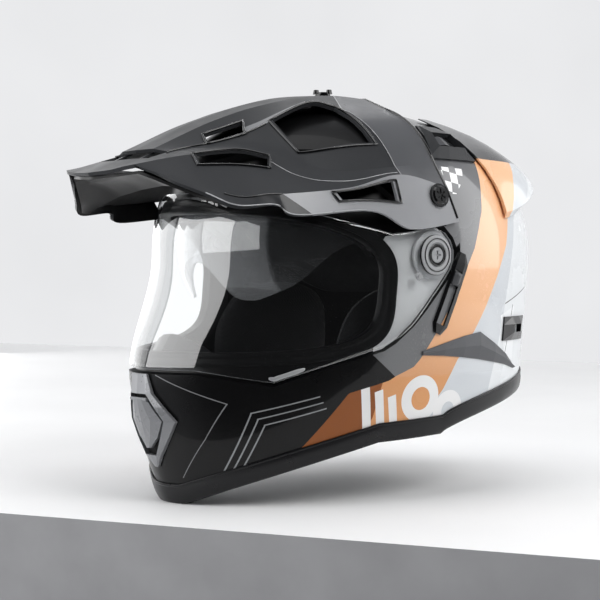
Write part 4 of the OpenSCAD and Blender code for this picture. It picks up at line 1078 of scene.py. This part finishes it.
# Set
def ledge_paint():
    s = paint("ledge_paint")
    col = s.blend(s.drift(0, 1, 0.004, 3.0), (0.80, 0.80, 0.80), (0.84, 0.84, 0.84))
    return s.principled(Base_Color=col, Roughness=s.drift(0.5, 0.6, 0.8, 3.0),
                        Normal=s.bump(s.noise(0.8, 3.0), 0.05, 0.0002), Specular_IOR_Level=0.3)


def wall_paint():
    """Pale wall, plain to the camera and in mirrors."""
    s = paint("wall_paint")
    col = s.blend(s.drift(0, 1, 0.002, 3.0), (0.80, 0.805, 0.82), (0.84, 0.845, 0.86))
    rough = s.add("ShaderNodeBsdfDiffuse", {"Color": col, "Normal": s.bump(s.noise(0.5), 0.05, 0.0003)})
    plain = s.add("ShaderNodeEmission", {"Color": col, "Strength": 1.0})
    ray = s.add("ShaderNodeLightPath")
    k = s.math("MAXIMUM", ray.outputs["Is Camera Ray"], ray.outputs["Is Transmission Ray"])
    k = s.math("MAXIMUM", k, ray.outputs["Is Glossy Ray"])
    return s.show(s.add("ShaderNodeMixShader", {0: k, 1: rough.outputs[0], 2: plain.outputs[0]}))


def set_piece(name, pts, faces, mat):
    mesh = bpy.data.meshes.new(name)
    mesh.from_pydata(pts, [], faces)
    mesh.materials.append(mat)
    obj = new_object(name, mesh)


def along(line, k, z):
    """Point at a share k of a floor line, at height z."""
    (x0, y0), (x1, y1) = line
    return (mix(x0, x1, k), mix(y0, y1, k), z)


# two lines along the slanted edges of the ledge, near and far (m)
NEAR = [(-0.031, -0.2435), (0.337, -0.0535)]
FAR = [(-2.028, 0.7815), (-0.814, 1.2675)]
ledge = [along(line, k, z) for z in (0, -1) for line, k in ((NEAR, -8), (NEAR, 9), (FAR, 3.5), (FAR, -2))]
set_piece("ledge", ledge, [(0, 1, 2, 3), (4, 7, 6, 5), (1, 5, 6, 2), (2, 6, 7, 3), (3, 7, 4, 0)],
          ledge_paint())
# painted shade: the ledge's front face is a darker grey than its top
set_piece("ledge_front", [ledge[k] for k in (0, 4, 5, 1)], [(0, 1, 2, 3)],
          plastic("ledge_front_shade_paint", "9c9c9e", 0.6, 0.05, 0.2))
wall = [floor_pt(5.0, r, z) for r, z in ((-8, -3), (8, -3), (8, 6), (-8, 6))]
set_piece("backdrop", wall, [(0, 1, 2, 3)], wall_paint())

# Light
AIM = Vector((0, SHIFT_Y / 1000, 0.15))


def lamp(name, pos, look, width, height, power):
    """Soft box that looks at a point."""
    light = bpy.data.lights.new(name, "AREA")
    light.shape = "RECTANGLE"
    light.size = width
    light.size_y = height
    light.energy = power
    obj = new_object(name, light)
    obj.location = pos
    obj.rotation_euler = (Vector(look) - Vector(pos)).to_track_quat("-Z", "Y").to_euler()


def polar(az, r, z):
    """Point at a bearing from the face, a distance r and a height z."""
    a = radians(az)
    return Vector((r * sin(a), SHIFT_Y / 1000 - r * cos(a), z))


def panel(name, az, r, z, width, height, radiance, tilt=0.0):
    """Soft box that faces the helmet, with a given radiance."""
    lamp(name, polar(az, r, z), polar(az, 0, z + tilt), width, height, radiance * pi * width * height)


def build_world():
    """Bright room, dark to the right of the camera."""
    dark_az, bright, dark = radians(66), 0.5, 0.03
    world = bpy.data.worlds.new("studio")
    bpy.context.scene.world = world
    s = Nodes(world, "ShaderNodeOutputWorld")
    way = s.add("ShaderNodeTexCoord").outputs["Generated"]
    right = (sin(dark_az), -cos(dark_az), 0.12)
    turn = s.add("ShaderNodeVectorMath", {0: way, 1: right}, operation="DOT_PRODUCT").outputs["Value"]
    s.show(s.add("ShaderNodeBackground", {0: (0.93, 0.95, 1.0), 1: s.span(turn, bright, dark, 0.26, 0.66)}))


panel("key", -12, 1.5, 0.55, 1.5, 1.15, 3.5)
panel("left", -76, 1.5, 0.55, 2.0, 1.15, 1.15)
panel("side", 98, 1.35, 1.15, 1.0, 0.8, 6.4, tilt=-1.0)
lamp("top", floor_pt(0.9, -0.2, 2.0), AIM, 1.6, 1.2, 11)
lamp("rim", floor_pt(1.5, 1.6, 0.7), AIM, 0.7, 1.2, 8)
lamp("wall_wash", floor_pt(4.0, 0, 2.6), floor_pt(5.0, 0, 0.8), 4.0, 0.5, 60)
build_world()

# Camera
# the picture's size and the left pivot's place in it (pixels)
FRAME_PX, PIVOT_PX = 600, (434, 255)


def build_camera():
    """Camera shifted to bring the pivot to its place in the picture."""
    cam = bpy.data.cameras.new("camera")
    cam.lens, cam.sensor_width, cam.clip_start, cam.clip_end = 93.6, 36.0, 0.05, 50
    obj = new_object("camera", cam)
    obj.matrix_world = Matrix([(*RIGHT, 0), (*UP, 0), (*BACK, 0), (*EYE, 1)]).transposed()
    bpy.context.scene.camera = obj
    mark = Vector((0.122, (SHIFT_Y - 1) / 1000, PIVOT_Z / 1000)) - EYE
    scale = cam.lens / cam.sensor_width / -mark.dot(BACK)
    cam.shift_x = 0.5 - PIVOT_PX[0] / FRAME_PX + scale * mark.dot(RIGHT)
    cam.shift_y = PIVOT_PX[1] / FRAME_PX - 0.5 + scale * mark.dot(UP)


build_camera()
view = bpy.context.scene.view_settings
view.view_transform = "Standard"
view.look = "None"
